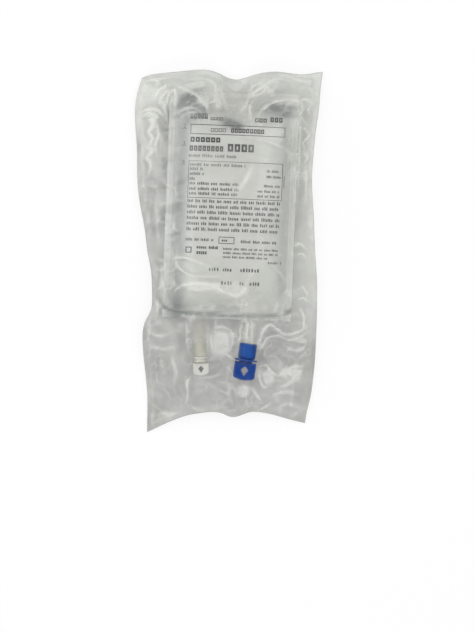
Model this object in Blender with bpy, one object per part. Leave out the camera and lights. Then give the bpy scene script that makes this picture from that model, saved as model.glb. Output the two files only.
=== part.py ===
"""Infusion bag of 500 ml with two capped ports, sealed in a clear overwrap pouch and lying on its back.

X runs across the bag, Y towards its hanging end and Z up from the surface it lies on. The origin is
on that surface, under the middle of the pouch. The solution fills a bag of two welded films, and the
pouch of two more films is draped over the bag and its ports.
"""

import math

import bmesh
import bpy
import numpy as np
from mathutils import Matrix, Vector

# Films and clearances, in metres as everything here
FILM = 0.0003
GAP = 0.0003
DRAPE_CLEARANCE = 0.0007
BAG_MARGIN = 0.0006

# Overwrap pouch. Its edges bow in from the full size, given as (share of the side, distance in)
POUCH_WIDTH = 0.1678
POUCH_LENGTH = 0.3235
POUCH_SIDE_SEAM = 0.0062
POUCH_END_SEAM = 0.0080
POUCH_COLUMNS = 23
POUCH_ROW_BANDS = ((0.0, 0.34, 18), (0.34, 0.47, 6), (0.47, 0.77, 7), (0.77, 1.0, 13))
LEFT_EDGE = (
    (0.000, 0.0107), (0.120, 0.0107), (0.175, 0.0089), (0.232, 0.0071), (0.288, 0.0069), (0.306, 0.0078),
    (0.327, 0.0114), (0.346, 0.0151), (0.362, 0.0152), (0.458, 0.0142), (0.514, 0.0107), (0.570, 0.0089),
    (0.627, 0.0053), (0.684, 0.0026), (0.800, 0.0017), (0.895, 0.0000), (0.940, 0.0008), (1.000, 0.0062),
)
RIGHT_EDGE = (
    (0.000, 0.0160), (0.037, 0.0142), (0.065, 0.0116), (0.122, 0.0089), (0.180, 0.0071), (0.236, 0.0062),
    (0.322, 0.0053), (0.408, 0.0053), (0.493, 0.0071), (0.579, 0.0080), (0.707, 0.0098), (0.778, 0.0080),
    (0.835, 0.0062), (0.892, 0.0035), (0.949, 0.0022), (1.000, 0.0000),
)
BOTTOM_EDGE = (
    (0.000, 0.0000), (0.030, 0.0019), (0.108, 0.0072), (0.184, 0.0117), (0.260, 0.0153), (0.335, 0.0171),
    (0.440, 0.0180), (0.487, 0.0165), (0.525, 0.0135), (0.563, 0.0135), (0.601, 0.0155), (0.639, 0.0178),
    (0.753, 0.0171), (0.829, 0.0144), (0.918, 0.0108), (1.000, 0.0081),
)
TOP_EDGE = (
    (0.000, 0.0072), (0.030, 0.0052), (0.138, 0.0028), (0.260, 0.0010), (0.320, 0.0001), (0.387, 0.0010),
    (0.420, 0.0028), (0.486, 0.0081), (0.536, 0.0090), (0.586, 0.0063), (0.620, 0.0046), (0.735, 0.0019),
    (0.834, 0.0037), (0.900, 0.0046), (0.950, 0.0028), (1.000, 0.0019),
)
# How far each welded edge stands off the surface, as (share of the side, height)
LEFT_RISE = (
    (0.00, 0.0010), (0.15, 0.0030), (0.34, 0.0102), (0.40, 0.0100), (0.60, 0.0060), (0.80, 0.0060),
    (1.00, 0.0025),
)
RIGHT_RISE = (
    (0.00, 0.0010), (0.15, 0.0040), (0.40, 0.0060), (0.70, 0.0070), (0.90, 0.0050), (1.00, 0.0030),
)
BOTTOM_RISE = (
    (0.00, 0.0010), (0.26, 0.0080), (0.41, 0.0110), (0.55, 0.0070), (0.66, 0.0110), (0.80, 0.0080),
    (1.00, 0.0010),
)
TOP_RISE = (
    (0.00, 0.0025), (0.12, 0.0090), (0.22, 0.0125), (0.33, 0.0130), (0.52, 0.0030), (0.70, 0.0125),
    (0.86, 0.0090), (1.00, 0.0030),
)

# Inner bag. It lies turned a little in the pouch
BAG_WIDTH = 0.1155
BAG_LENGTH = 0.2030
BAG_THICKNESS = 0.0355
BAG_OFFSET = 0.0014
BAG_HEAD_ROOM = 0.0200
BAG_TURN = -2.2
SIDE_SEAM = 0.0050
BOTTOM_SEAM = 0.0090
TOP_FLANGE = 0.0150
BOTTOM_RUN = 0.0320
TOP_RUN = 0.0460
KEEL_RUN = 0.0130
SIDE_ROUNDNESS = 2.4
END_ROUNDNESS = 2.2
SOLUTION_RIM = 0.0025
FLANGE_LIFT = 0.0030

# Crease that presses the hanging end down between two standing corners
DENT_OFFSET = 0.0038
DENT_LENGTH = 0.0360
DENT_SPREAD = 1.25
DENT_RAMP = 0.0100
DENT_SHARE = 0.85
DENT_FLOOR = 0.0036

# Hanging slot, cut through the top flange
SLOT_LENGTH = 0.0220
SLOT_WIDTH = 0.0050
SLOT_END_STEPS = 6

# Grid lines of the bag's films, as shares of the way from the ports to the solution's rim, of the
# solution's length and of the flange
OUTER_COLUMN_SHARES = (0.42, 0.8, 1.0)
CHAMBER_ROW_SHARES = (0.0, 0.035, 0.09, 0.18, 0.31, 0.48, 0.64, 0.75, 0.83, 0.89, 0.94, 0.975, 1.0)
FLANGE_ROW_SHARES = (0.0, 0.35, 0.68, 1.0)

# Ports, measured outwards from the bag's bottom edge along each port's axis
PORT_SPACING = 0.0470
PORT_OFFSET = -0.0005
BOAT_WIDTH = 0.0200
BOAT_THICKNESS = 0.0120
BOAT_TIP = 0.0010
BOAT_OVERHANG = 0.0024
TUBE_START = 0.0012
ROUND_STEPS = 28

INFUSION_TILT = 4.2
INFUSION_ROOT_RADIUS = 0.0074
INFUSION_TUBE_RADIUS = 0.0060
INFUSION_BORE_RADIUS = 0.0044
INFUSION_TUBE_END = 0.0340
INFUSION_SEPTUM_LENGTH = 0.0120
INFUSION_RING_LENGTH = 0.0042
INFUSION_RING_RADIUS = 0.0061
INFUSION_TAB_WIDTH = 0.0144
INFUSION_TAB_LENGTH = 0.0120
INFUSION_TAB_THICKNESS = 0.0040

INJECTION_TILT = -6.3
INJECTION_TUBE_RADIUS = 0.0063
INJECTION_BORE_RADIUS = 0.0046
INJECTION_TUBE_END = 0.0330
INJECTION_SEPTUM_LENGTH = 0.0090
INJECTION_COLLAR_LENGTH = 0.0125
INJECTION_COLLAR_RADIUS = 0.0078
INJECTION_COLLAR_END_WALL = 0.0017
INJECTION_COLLAR_ROUND = 0.0020
INJECTION_FLANGE_RADIUS = 0.0100
INJECTION_FLANGE_LENGTH = 0.0016
INJECTION_TAB_WIDTH = 0.0194
INJECTION_TAB_LENGTH = 0.0164
INJECTION_TAB_THICKNESS = 0.0052

TUBE_LIP = 0.0006
SEPTUM_DISH = 0.0012
SEPTUM_RECESS = 0.0003
SEPTUM_RIM_SHARE = 0.8
NECK_SHARE = 0.62
NECK_THICKNESS = 0.0026
NECK_LENGTH = 0.0008
RING_GROOVE_DEPTH = 0.0005
TAB_CORNER = 0.0030
TAB_CORNER_STEPS = 4
TAB_EDGE = 0.0006
TAB_EDGE_ANGLE = 50
TAB_HOLLOW = 0.0007
TAB_BOW = 0.0010
CAP_EDGE = 0.0005
MARK_WIDTH_SHARE = 0.35
MARK_LENGTH_SHARE = 0.52
MARK_SHOULDER_SHARE = 0.40

# How often the films are evened out, and then cleared of the contents
DRAPE_ROUNDS = 260
CLEARING_ROUNDS = 12
CELL_SHARES = (0.0, 0.25, 0.5, 0.75, 1.0)

# Folds in the front of the pouch: points along the fold, its height, below 0 for a valley, and half width
HANGING_END_FOLDS = (
    (((0.009, 0.152), (0.007, 0.132), (0.005, 0.108)), -0.0070, 0.0070),
    (((-0.050, 0.147), (-0.036, 0.143), (-0.022, 0.132), (-0.015, 0.118)), 0.0042, 0.0060),
    (((-0.038, 0.153), (-0.020, 0.153), (-0.010, 0.146)), 0.0030, 0.0050),
    (((-0.042, 0.133), (-0.032, 0.127), (-0.026, 0.118)), -0.0030, 0.0055),
    (((-0.049, 0.148), (-0.047, 0.138), (-0.048, 0.126)), 0.0026, 0.0050),
    (((0.045, 0.155), (0.028, 0.147), (0.016, 0.137)), 0.0045, 0.0055),
    (((0.022, 0.114), (0.031, 0.127), (0.043, 0.133), (0.060, 0.134)), 0.0042, 0.0055),
    (((0.036, 0.143), (0.048, 0.145), (0.060, 0.148)), -0.0030, 0.0050),
)
SIDE_FOLDS = (
    (((-0.077, 0.126), (-0.069, 0.121), (-0.058, 0.120)), 0.0034, 0.0050),
    (((-0.072, 0.109), (-0.067, 0.092), (-0.064, 0.064)), 0.0040, 0.0055),
    (((-0.066, 0.040), (-0.063, 0.018), (-0.062, -0.008)), 0.0030, 0.0055),
    (((0.074, 0.137), (0.069, 0.129), (0.062, 0.126)), 0.0032, 0.0045),
    (((0.072, 0.112), (0.067, 0.105), (0.061, 0.103)), 0.0032, 0.0045),
    (((0.061, 0.090), (0.063, 0.065), (0.063, 0.032)), 0.0036, 0.0050),
    (((0.070, 0.006), (0.063, 0.000), (0.060, -0.010)), 0.0030, 0.0050),
)
LOWER_BAG_FOLDS = (
    (((-0.046, -0.031), (-0.036, -0.030), (-0.021, -0.029), (-0.003, -0.037)), 0.0046, 0.0055),
    (((-0.003, -0.037), (0.004, -0.041), (0.013, -0.035), (0.016, -0.023)), 0.0036, 0.0050),
    (((-0.053, -0.058), (-0.026, -0.060), (0.010, -0.061), (0.050, -0.064)), -0.0022, 0.0050),
    (((-0.064, -0.020), (-0.060, -0.032), (-0.060, -0.044)), 0.0026, 0.0050),
    (((0.010, -0.044), (0.018, -0.054), (0.030, -0.060)), 0.0024, 0.0050),
    (((-0.058, -0.027), (-0.059, -0.036), (-0.057, -0.043)), 0.0022, 0.0045),
    (((-0.012, -0.066), (-0.004, -0.067), (0.016, -0.068), (0.036, -0.067)), 0.0022, 0.0050),
)
PORT_END_FOLDS = (
    (((0.026, -0.085), (0.034, -0.068), (0.047, -0.074), (0.070, -0.069)), 0.0048, 0.0055),
    (((0.034, -0.086), (0.048, -0.082), (0.062, -0.080)), -0.0030, 0.0050),
    (((0.026, -0.106), (0.044, -0.118), (0.058, -0.112), (0.067, -0.101)), 0.0055, 0.0060),
    (((0.018, -0.124), (0.026, -0.131), (0.032, -0.139)), 0.0035, 0.0050),
    (((0.036, -0.108), (0.048, -0.111), (0.060, -0.124)), 0.0026, 0.0050),
    (((-0.008, -0.070), (-0.003, -0.084), (-0.006, -0.098)), -0.0035, 0.0060),
    (((-0.034, -0.110), (-0.039, -0.124), (-0.038, -0.138)), 0.0038, 0.0050),
    (((-0.063, -0.118), (-0.056, -0.128), (-0.050, -0.136)), -0.0030, 0.0055),
    (((-0.071, -0.076), (-0.060, -0.082), (-0.046, -0.080)), 0.0030, 0.0055),
    (((-0.012, -0.118), (-0.002, -0.128), (0.004, -0.138)), 0.0030, 0.0050),
    (((0.038, -0.106), (0.042, -0.112), (0.048, -0.122), (0.050, -0.130)), 0.0024, 0.0050),
    (((-0.012, -0.078), (-0.010, -0.090), (0.000, -0.097)), 0.0018, 0.0050),
)
FOLD_STEPS = 31
FOLD_END_SHARE = 0.08

# Edges sharper than the first angle, in degrees, stay crisp, and ones flatter than the second are left out
SHARP_ANGLE = 40
FLAT_ANGLE = 0.15

# Colours as (red, green, blue, alpha), then roughness
OVERWRAP_LOOK = ((0.78, 0.80, 0.78, 0.35), 0.25)
BAG_LOOK = ((0.72, 0.75, 0.73, 0.45), 0.30)
SOLUTION_LOOK = ((0.80, 0.84, 0.82, 0.40), 0.05)
CLEAR_LOOK = ((0.80, 0.80, 0.76, 0.55), 0.30)
SEPTUM_LOOK = ((0.76, 0.72, 0.58, 1.0), 0.60)
WHITE_LOOK = ((0.78, 0.79, 0.76, 1.0), 0.35)
BLUE_LOOK = ((0.02, 0.12, 0.45, 1.0), 0.30)

# Sizes that follow from those above
SEAM_HEIGHT = FILM + GAP + INJECTION_FLANGE_RADIUS
BAG_UNDERSIDE = FILM + GAP + FILM
HALF_WIDTH = BAG_WIDTH / 2
CHAMBER_HALF = HALF_WIDTH - SIDE_SEAM
BAG_CENTRE = (BAG_OFFSET, POUCH_LENGTH / 2 - BAG_HEAD_ROOM - BAG_LENGTH / 2)
BAG_BOTTOM = -BAG_LENGTH / 2
BAG_TOP = BAG_LENGTH / 2
CHAMBER_BOTTOM = BAG_BOTTOM + BOTTOM_SEAM
CHAMBER_TOP = BAG_TOP - TOP_FLANGE
CELL_PLACES = tuple((a, b) for a in CELL_SHARES for b in CELL_SHARES)
ACROSS_SHARES = (-1.0, -0.5, 0.0, 0.5, 1.0)
ARC_MIDDLE = 1 - math.sqrt(0.5)
BOAT_HALF = BOAT_WIDTH / 2
BOAT_HEIGHTS = tuple(
    BOAT_TIP / 2 + (BOAT_THICKNESS - BOAT_TIP) / 2 * (1 - share**2) for share in ACROSS_SHARES
)
INFUSION_AT = PORT_OFFSET - PORT_SPACING / 2
INJECTION_AT = PORT_OFFSET + PORT_SPACING / 2
INFUSION_RING_START = INFUSION_TUBE_END + GAP
INFUSION_TAB_START = INFUSION_RING_START + INFUSION_RING_LENGTH + NECK_LENGTH
INJECTION_COLLAR_END = INJECTION_TUBE_END + GAP + INJECTION_COLLAR_END_WALL
INJECTION_COLLAR_START = INJECTION_TUBE_END - INJECTION_COLLAR_LENGTH + GAP
INJECTION_FLANGE_END = INJECTION_COLLAR_END + INJECTION_FLANGE_LENGTH
INJECTION_TAB_START = INJECTION_FLANGE_END + NECK_LENGTH


def clear_scene():
    for old in list(bpy.data.objects):
        bpy.data.objects.remove(old)


def material(name, look):
    colour, roughness = look
    made = bpy.data.materials.new(name)
    made.use_nodes = True
    shader = made.node_tree.nodes["Principled BSDF"]
    shader.inputs["Base Color"].default_value = (*colour[:3], 1.0)
    shader.inputs["Alpha"].default_value = colour[3]
    shader.inputs["Roughness"].default_value = roughness
    shader.inputs["Metallic"].default_value = 0.0
    return made


def add_object(name, mesh_data, parent=None, look=None):
    made = bpy.data.objects.new(name, mesh_data)
    bpy.context.scene.collection.objects.link(made)
    made.parent = parent
    if look is not None:
        made.data.materials.append(material(name, look))
    return made


def add_frame(name, location, rotation, parent=None):
    frame = bpy.data.objects.new(name, None)
    bpy.context.scene.collection.objects.link(frame)
    frame.parent = parent
    frame.location = location
    frame.rotation_euler = [math.radians(angle) for angle in rotation]
    return frame


def mesh_from(bm, name, keep_facing=False):
    if not keep_facing:
        bmesh.ops.recalc_face_normals(bm, faces=bm.faces)
    mesh_data = bpy.data.meshes.new(name)
    bm.to_mesh(mesh_data)
    bm.free()
    mesh_data.shade_smooth()
    mesh_data.set_sharp_from_angle(angle=math.radians(SHARP_ANGLE))
    return mesh_data


def combine(target, other, operation):
    """Joins or cuts target with other, which stays hidden."""
    modifier = target.modifiers.new(operation.lower(), "BOOLEAN")
    modifier.operation = operation
    modifier.object = other
    other.hide_render = True
    other.display_type = "WIRE"


# Smooth curves


def through(points, at):
    """A smooth curve through (share, value) points, read at the shares in at."""
    shares = np.array([point[0] for point in points])
    values = np.array([point[1] for point in points])
    slopes = np.gradient(values, shares)
    at = np.asarray(at, float)
    i = np.clip(np.searchsorted(shares, at) - 1, 0, len(shares) - 2)
    span = shares[i + 1] - shares[i]
    t = (at - shares[i]) / span
    return (
        values[i] * (2 * t**3 - 3 * t**2 + 1)
        + values[i + 1] * (3 * t**2 - 2 * t**3)
        + slopes[i] * span * (t**3 - 2 * t**2 + t)
        + slopes[i + 1] * span * (t**3 - t**2)
    )


def smooth_step(t):
    t = np.clip(t, 0, 1)
    return t * t * (3 - 2 * t)


# Shape of the inner bag, in its own frame


def dent(x, y):
    """0 away from the crease in the hanging end, 1 along its middle."""
    along = np.maximum(y - (BAG_TOP - DENT_LENGTH), 0)
    reach = np.maximum(DENT_SPREAD * along, 1e-9)
    across = smooth_step(1 - np.abs(x - DENT_OFFSET) / reach)
    return across * (1 - np.exp(-along / DENT_RAMP))


def seam_level(x, y):
    """Height of the plane in which the bag's two films are welded."""
    to_flange = smooth_step((y - CHAMBER_TOP + TOP_RUN) / TOP_RUN)
    lifted = SEAM_HEIGHT + FLANGE_LIFT * to_flange
    return lifted - (lifted - DENT_FLOOR) * dent(x, y)


def chamber_depth(x, y):
    """Distances in from the side welds, the bottom weld and the top weld, 0 on the welds."""
    side = CHAMBER_HALF - np.abs(x)
    return np.maximum(side, 0), np.maximum(y - CHAMBER_BOTTOM, 0), np.maximum(CHAMBER_TOP - y, 0)


def fullness(x, y):
    """0 on the welds, 1 where the chamber is fullest."""
    side, bottom, top = chamber_depth(x, y)
    across = np.sqrt(1 - np.clip(1 - side / CHAMBER_HALF, 0, 1) ** SIDE_ROUNDNESS)
    up_from_ports = np.sqrt(1 - np.clip(1 - bottom / BOTTOM_RUN, 0, 1) ** END_ROUNDNESS)
    down_from_hanger = np.sqrt(1 - np.clip(1 - top / TOP_RUN, 0, 1) ** END_ROUNDNESS)
    return across * up_from_ports * down_from_hanger


def boat_bulge(x, y):
    """Half the space that the films leave for the weld ends of the ports."""
    bulge = np.zeros(np.broadcast(x, y).shape)
    for centre in (INFUSION_AT, INJECTION_AT):
        shares = [centre + share * BOAT_HALF for share in ACROSS_SHARES]
        heights = [height + GAP / 2 for height in BOAT_HEIGHTS]
        bulge = np.maximum(bulge, np.interp(x, shares, heights, left=0, right=0))
    return bulge * smooth_step(2 - (y - BAG_BOTTOM) / BOTTOM_SEAM)


def bag_inner_top(x, y):
    """Lower face of the bag's front film."""
    swell = (BAG_THICKNESS - SEAM_HEIGHT) * fullness(x, y) * (1 - DENT_SHARE * dent(x, y))
    return seam_level(x, y) + GAP / 2 + np.maximum(swell, boat_bulge(x, y))


def bag_inner_bottom(x, y):
    """Upper face of the bag's back film, flat where the bag lies on it."""
    level = seam_level(x, y)
    side, bottom, top = chamber_depth(x, y)
    end = np.minimum(bottom, top)
    keel = (1 - np.clip(1 - side / KEEL_RUN, 0, 1) ** 2) * (1 - np.clip(1 - end / KEEL_RUN, 0, 1) ** 2)
    return level - GAP / 2 - np.maximum((level - GAP / 2 - BAG_UNDERSIDE) * keel, boat_bulge(x, y))


def bag_columns():
    """Grid lines across the bag, with one on each corner of the ports' weld ends."""
    lines = [PORT_OFFSET]
    rim = CHAMBER_HALF - SOLUTION_RIM
    for side, centre in ((-1, INFUSION_AT), (1, INJECTION_AT)):
        lines += [centre + share * BOAT_HALF for share in ACROSS_SHARES]
        outer = abs(centre) + BOAT_HALF
        lines += [side * (outer + (rim - outer) * share) for share in OUTER_COLUMN_SHARES]
        lines += [side * CHAMBER_HALF, side * HALF_WIDTH]
    return sorted(lines)


def bag_rows():
    """Grid lines along the bag, closer together towards both ends of the chamber."""
    low = CHAMBER_BOTTOM + SOLUTION_RIM
    high = CHAMBER_TOP - SOLUTION_RIM
    inner = [low + (high - low) * share for share in CHAMBER_ROW_SHARES]
    flange = [CHAMBER_TOP + TOP_FLANGE * share for share in FLANGE_ROW_SHARES]
    return [BAG_BOTTOM, CHAMBER_BOTTOM] + inner + flange


# Where the pieces stand in the whole object


def to_bag_frame(x, y):
    turn = math.radians(BAG_TURN)
    dx = x - BAG_CENTRE[0]
    dy = y - BAG_CENTRE[1]
    return dx * math.cos(turn) + dy * math.sin(turn), dy * math.cos(turn) - dx * math.sin(turn)


def port_steps(name):
    """Stretches of a port as (start, end, half width, half height), along its axis."""
    if name == "infusion":
        tab = (INFUSION_TAB_WIDTH / 2, INFUSION_TAB_THICKNESS / 2)
        return (
            (0.0, INFUSION_TUBE_END, INFUSION_ROOT_RADIUS, INFUSION_ROOT_RADIUS),
            (INFUSION_TUBE_END, INFUSION_TAB_START, INFUSION_RING_RADIUS, INFUSION_RING_RADIUS),
            (INFUSION_TAB_START, INFUSION_TAB_START + INFUSION_TAB_LENGTH, *tab),
        )
    tab = (INJECTION_TAB_WIDTH / 2, INJECTION_TAB_THICKNESS / 2)
    return (
        (0.0, INJECTION_COLLAR_START, INJECTION_TUBE_RADIUS, INJECTION_TUBE_RADIUS),
        (INJECTION_COLLAR_START, INJECTION_COLLAR_END, INJECTION_COLLAR_RADIUS, INJECTION_COLLAR_RADIUS),
        (INJECTION_COLLAR_END, INJECTION_FLANGE_END, INJECTION_FLANGE_RADIUS, INJECTION_FLANGE_RADIUS),
        (INJECTION_FLANGE_END, INJECTION_TAB_START, *tab),
        (INJECTION_TAB_START, INJECTION_TAB_START + INJECTION_TAB_LENGTH, *tab),
    )


def port_half_height(x, y):
    """Half the height of the ports over a point of the bag's frame, and 0 beside them."""
    reach = np.zeros(np.broadcast(x, y).shape)
    for name, centre, tilt in (
        ("infusion", INFUSION_AT, INFUSION_TILT),
        ("injection", INJECTION_AT, INJECTION_TILT),
    ):
        angle = math.radians(tilt)
        out = -(y - BAG_BOTTOM)
        along = out * math.cos(angle) + (x - centre) * math.sin(angle)
        across = np.abs((x - centre) * math.cos(angle) - out * math.sin(angle))
        for start, end, half_width, half_height in port_steps(name):
            inside = (along >= start) & (along <= end) & (across < half_width)
            curve = half_height * np.sqrt(np.clip(1 - (across / half_width) ** 2, 0, 1))
            flat = half_height if half_width > half_height else curve
            reach = np.maximum(reach, np.where(inside, flat, 0))
    return reach


def on_bag_grid(height, x, y, beside):
    """A height of the bag as its triangles give it, read in the bag's frame, and beside past its edge."""
    columns = np.array(bag_columns())
    rows = np.array(bag_rows())
    grid = height(*np.meshgrid(columns, rows, indexing="ij"))
    i = np.clip(np.searchsorted(columns, x) - 1, 0, len(columns) - 2)
    j = np.clip(np.searchsorted(rows, y) - 1, 0, len(rows) - 2)
    a = (x - columns[i]) / (columns[i + 1] - columns[i])
    b = (y - rows[j]) / (rows[j + 1] - rows[j])
    first = grid[i, j] + (grid[i + 1, j] - grid[i, j]) * a + (grid[i + 1, j + 1] - grid[i + 1, j]) * b
    second = grid[i, j] + (grid[i, j + 1] - grid[i, j]) * b + (grid[i + 1, j + 1] - grid[i, j + 1]) * a
    inside = (np.abs(x) <= HALF_WIDTH + BAG_MARGIN) & (np.abs(y) <= BAG_TOP + BAG_MARGIN)
    return np.where(inside, np.where(a >= b, first, second), beside)


def contents_top(x, y):
    """Highest point of the bag and ports over a point of the pouch, and 0 beside them."""
    bag_x, bag_y = to_bag_frame(x, y)
    over_bag = on_bag_grid(bag_inner_top, bag_x, bag_y, -FILM) + FILM
    reach = port_half_height(bag_x, bag_y)
    return np.maximum(over_bag, np.where(reach > 0, SEAM_HEIGHT + reach, 0))


def contents_bottom(x, y):
    """Lowest point of the bag and ports over a point of the pouch, and very high beside them."""
    nothing = 1.0
    bag_x, bag_y = to_bag_frame(x, y)
    under_bag = on_bag_grid(bag_inner_bottom, bag_x, bag_y, nothing) - FILM
    reach = port_half_height(bag_x, bag_y)
    return np.minimum(under_bag, np.where(reach > 0, SEAM_HEIGHT - reach, nothing))


# Pouch


def inside_seams(shares, size, seam):
    """Grid lines as shares of the pouch's size: both edges, and the given lines between its seams."""
    band = seam / size
    return np.concatenate([[0.0], band + (1 - 2 * band) * np.asarray(shares), [1.0]])


def pouch_columns():
    return inside_seams(np.linspace(0, 1, POUCH_COLUMNS - 1), POUCH_WIDTH, POUCH_SIDE_SEAM)


def pouch_rows():
    """Grid lines along the pouch, closer together at both ends, where the folds are."""
    lines = [np.linspace(low, high, count + 1)[:-1] for low, high, count in POUCH_ROW_BANDS]
    return inside_seams(np.concatenate([*lines, [1.0]]), POUCH_LENGTH, POUCH_END_SEAM)


def pouch_plan(columns, rows):
    """Places and edge heights of the pouch's grid points, between its four bowed edges."""
    u, v = np.meshgrid(columns, rows, indexing="ij")
    west = -POUCH_WIDTH / 2 + through(LEFT_EDGE, v)
    east = POUCH_WIDTH / 2 - through(RIGHT_EDGE, v)
    south = -POUCH_LENGTH / 2 + through(BOTTOM_EDGE, u)
    north = POUCH_LENGTH / 2 - through(TOP_EDGE, u)
    x = west + (east - west) * u
    y = south + (north - south) * v
    sides = through(LEFT_RISE, v) * (1 - u) + through(RIGHT_RISE, v) * u
    ends = through(BOTTOM_RISE, u) * (1 - v) + through(TOP_RISE, u) * v
    corners = (
        LEFT_RISE[0][1] * (1 - u) * (1 - v)
        + RIGHT_RISE[0][1] * u * (1 - v)
        + LEFT_RISE[-1][1] * (1 - u) * v
        + RIGHT_RISE[-1][1] * u * v
    )
    return x, y, np.maximum(sides + ends - corners, FILM)


def between(grid, share_u, share_v):
    """Values inside each cell of a grid, at one place on the cell's two triangles."""
    if share_u >= share_v:
        return grid[:-1, :-1] * (1 - share_u) + grid[1:, :-1] * (share_u - share_v) + grid[1:, 1:] * share_v
    return grid[:-1, :-1] * (1 - share_v) + grid[:-1, 1:] * (share_v - share_u) + grid[1:, 1:] * share_u


def spread_to_corners(cells, pick):
    """The strongest value of the cells round each grid point."""
    padded = np.pad(cells, 1, constant_values=0)
    return pick.reduce([padded[:-1, :-1], padded[1:, :-1], padded[:-1, 1:], padded[1:, 1:]])


def fold_height(x, y):
    """Height that the folds add to the front of the pouch."""
    added = np.zeros_like(x)
    steps = np.linspace(0, 1, FOLD_STEPS)
    for points, height, half_width in HANGING_END_FOLDS + SIDE_FOLDS + LOWER_BAG_FOLDS + PORT_END_FOLDS:
        shares = np.linspace(0, 1, len(points))
        along_x = through(list(zip(shares, (point[0] for point in points))), steps)
        along_y = through(list(zip(shares, (point[1] for point in points))), steps)
        distance = np.hypot(x[..., None] - along_x, y[..., None] - along_y)
        nearest = steps[distance.argmin(axis=-1)]
        taper = np.sqrt(np.sin(np.pi * np.clip(nearest, FOLD_END_SHARE, 1 - FOLD_END_SHARE)))
        added += height * taper * np.exp(-((distance.min(axis=-1) / half_width) ** 2))
    return added


def settle(x, y, edge, limit, side):
    """Drapes a film from its welded edges over the contents.

    Side is 1 for the front film, which goes over them, and -1 for the back film, which goes under.
    """
    welded = np.zeros_like(edge, bool)
    welded[:2, :] = welded[-2:, :] = welded[:, :2] = welded[:, -2:] = True
    limits = [limit(between(x, a, b), between(y, a, b)) for a, b in CELL_PLACES]
    z = edge.copy()
    for _ in range(DRAPE_ROUNDS):
        even = z.copy()
        even[1:-1, 1:-1] = (z[:-2, 1:-1] + z[2:, 1:-1] + z[1:-1, :-2] + z[1:-1, 2:]) / 4
        z = np.maximum(np.where(welded, edge, even), FILM)
        z = clear_contents(z, limits, side, welded)
    for _ in range(CLEARING_ROUNDS):
        z = clear_contents(z, limits, side, welded)
    return z


def clear_contents(z, limits, side, welded):
    """Moves grid points of a film until no cell of it reaches into the contents."""
    short = np.zeros((z.shape[0] - 1, z.shape[1] - 1))
    for (a, b), level in zip(CELL_PLACES, limits):
        short = np.maximum(short, side * (level - between(z, a, b)))
    push = spread_to_corners(short, np.maximum)
    return np.where(welded, z, np.maximum(z + side * push, FILM))


def front_limit(x, y):
    return contents_top(x, y) + DRAPE_CLEARANCE


def back_limit(x, y):
    return np.maximum(contents_bottom(x, y) - DRAPE_CLEARANCE, FILM)


def grid_faces(bm, x, y, z):
    """Adds a grid of points, with two triangles facing up in each cell, and returns the points."""
    places = np.stack([x, y, z], axis=-1)
    points = [[bm.verts.new(place) for place in row] for row in places]
    for i in range(x.shape[0] - 1):
        for j in range(x.shape[1] - 1):
            near, right, far, left = points[i][j], points[i + 1][j], points[i + 1][j + 1], points[i][j + 1]
            bm.faces.new((near, right, far))
            bm.faces.new((near, far, left))
    return points


def film(name, x, y, z, outwards, parent, look, flatten=0.0):
    """A film of even thickness, laid on the side of the grid that outwards gives: 1 above, -1 below.

    Faces that meet at less than the angle in flatten, in degrees, become one.
    """
    bm = bmesh.new()
    grid_faces(bm, x, y, z)
    if flatten:
        bm.normal_update()
        bmesh.ops.dissolve_limit(bm, angle_limit=math.radians(flatten), verts=bm.verts, edges=bm.edges)
        bmesh.ops.triangulate(bm, faces=bm.faces)
    made = add_object(name, mesh_from(bm, name, keep_facing=True), parent, look)
    thickness = made.modifiers.new("thickness", "SOLIDIFY")
    thickness.thickness = FILM
    thickness.offset = outwards
    return made


def build_pouch():
    x, y, edge = pouch_plan(pouch_columns(), pouch_rows())
    limits = [front_limit(between(x, a, b), between(y, a, b)) for a, b in CELL_PLACES]
    front = settle(x, y, edge + GAP, front_limit, 1)
    welded = front == edge + GAP
    front = np.where(welded, front, front + fold_height(x, y))
    front = np.where(welded, front, np.maximum(front, edge + GAP))
    for _ in range(CLEARING_ROUNDS):
        front = clear_contents(front, limits, 1, welded)
    back = settle(x, y, edge, back_limit, -1)
    film("overwrap_front_film", x, y, front, 1, None, OVERWRAP_LOOK)
    film("overwrap_back_film", x, y, back, -1, None, OVERWRAP_LOOK, FLAT_ANGLE)


# Bag


def slot_cutter(frame):
    """A long hole with round ends, through the flange at the hanging end."""
    bm = bmesh.new()
    half = SLOT_LENGTH / 2 - SLOT_WIDTH / 2
    middle_y = BAG_TOP - TOP_FLANGE / 2
    outline = []
    for end, turned in ((half, -90), (-half, 90)):
        for step in range(SLOT_END_STEPS + 1):
            angle = math.radians(turned + 180 * step / SLOT_END_STEPS)
            across = end + SLOT_WIDTH / 2 * math.cos(angle)
            outline.append((DENT_OFFSET + across, middle_y + SLOT_WIDTH / 2 * math.sin(angle)))
    face = bm.faces.new([bm.verts.new((x, y, -BAG_THICKNESS)) for x, y in outline])
    raised = bmesh.ops.extrude_face_region(bm, geom=[face])["geom"]
    moved = [item for item in raised if isinstance(item, bmesh.types.BMVert)]
    bmesh.ops.translate(bm, verts=moved, vec=(0, 0, 3 * BAG_THICKNESS))
    return add_object("hanging_slot_cutter", mesh_from(bm, "hanging_slot_cutter"), frame)


def build_bag(frame):
    columns = np.array(bag_columns())
    rows = np.array(bag_rows())
    x, y = np.meshgrid(columns, rows, indexing="ij")
    cutter = slot_cutter(frame)
    for name, z, side in (
        ("bag_front_film", bag_inner_top(x, y), 1),
        ("bag_back_film", bag_inner_bottom(x, y), -1),
    ):
        combine(film(name, x, y, z, side, frame, BAG_LOOK), cutter, "DIFFERENCE")


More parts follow.
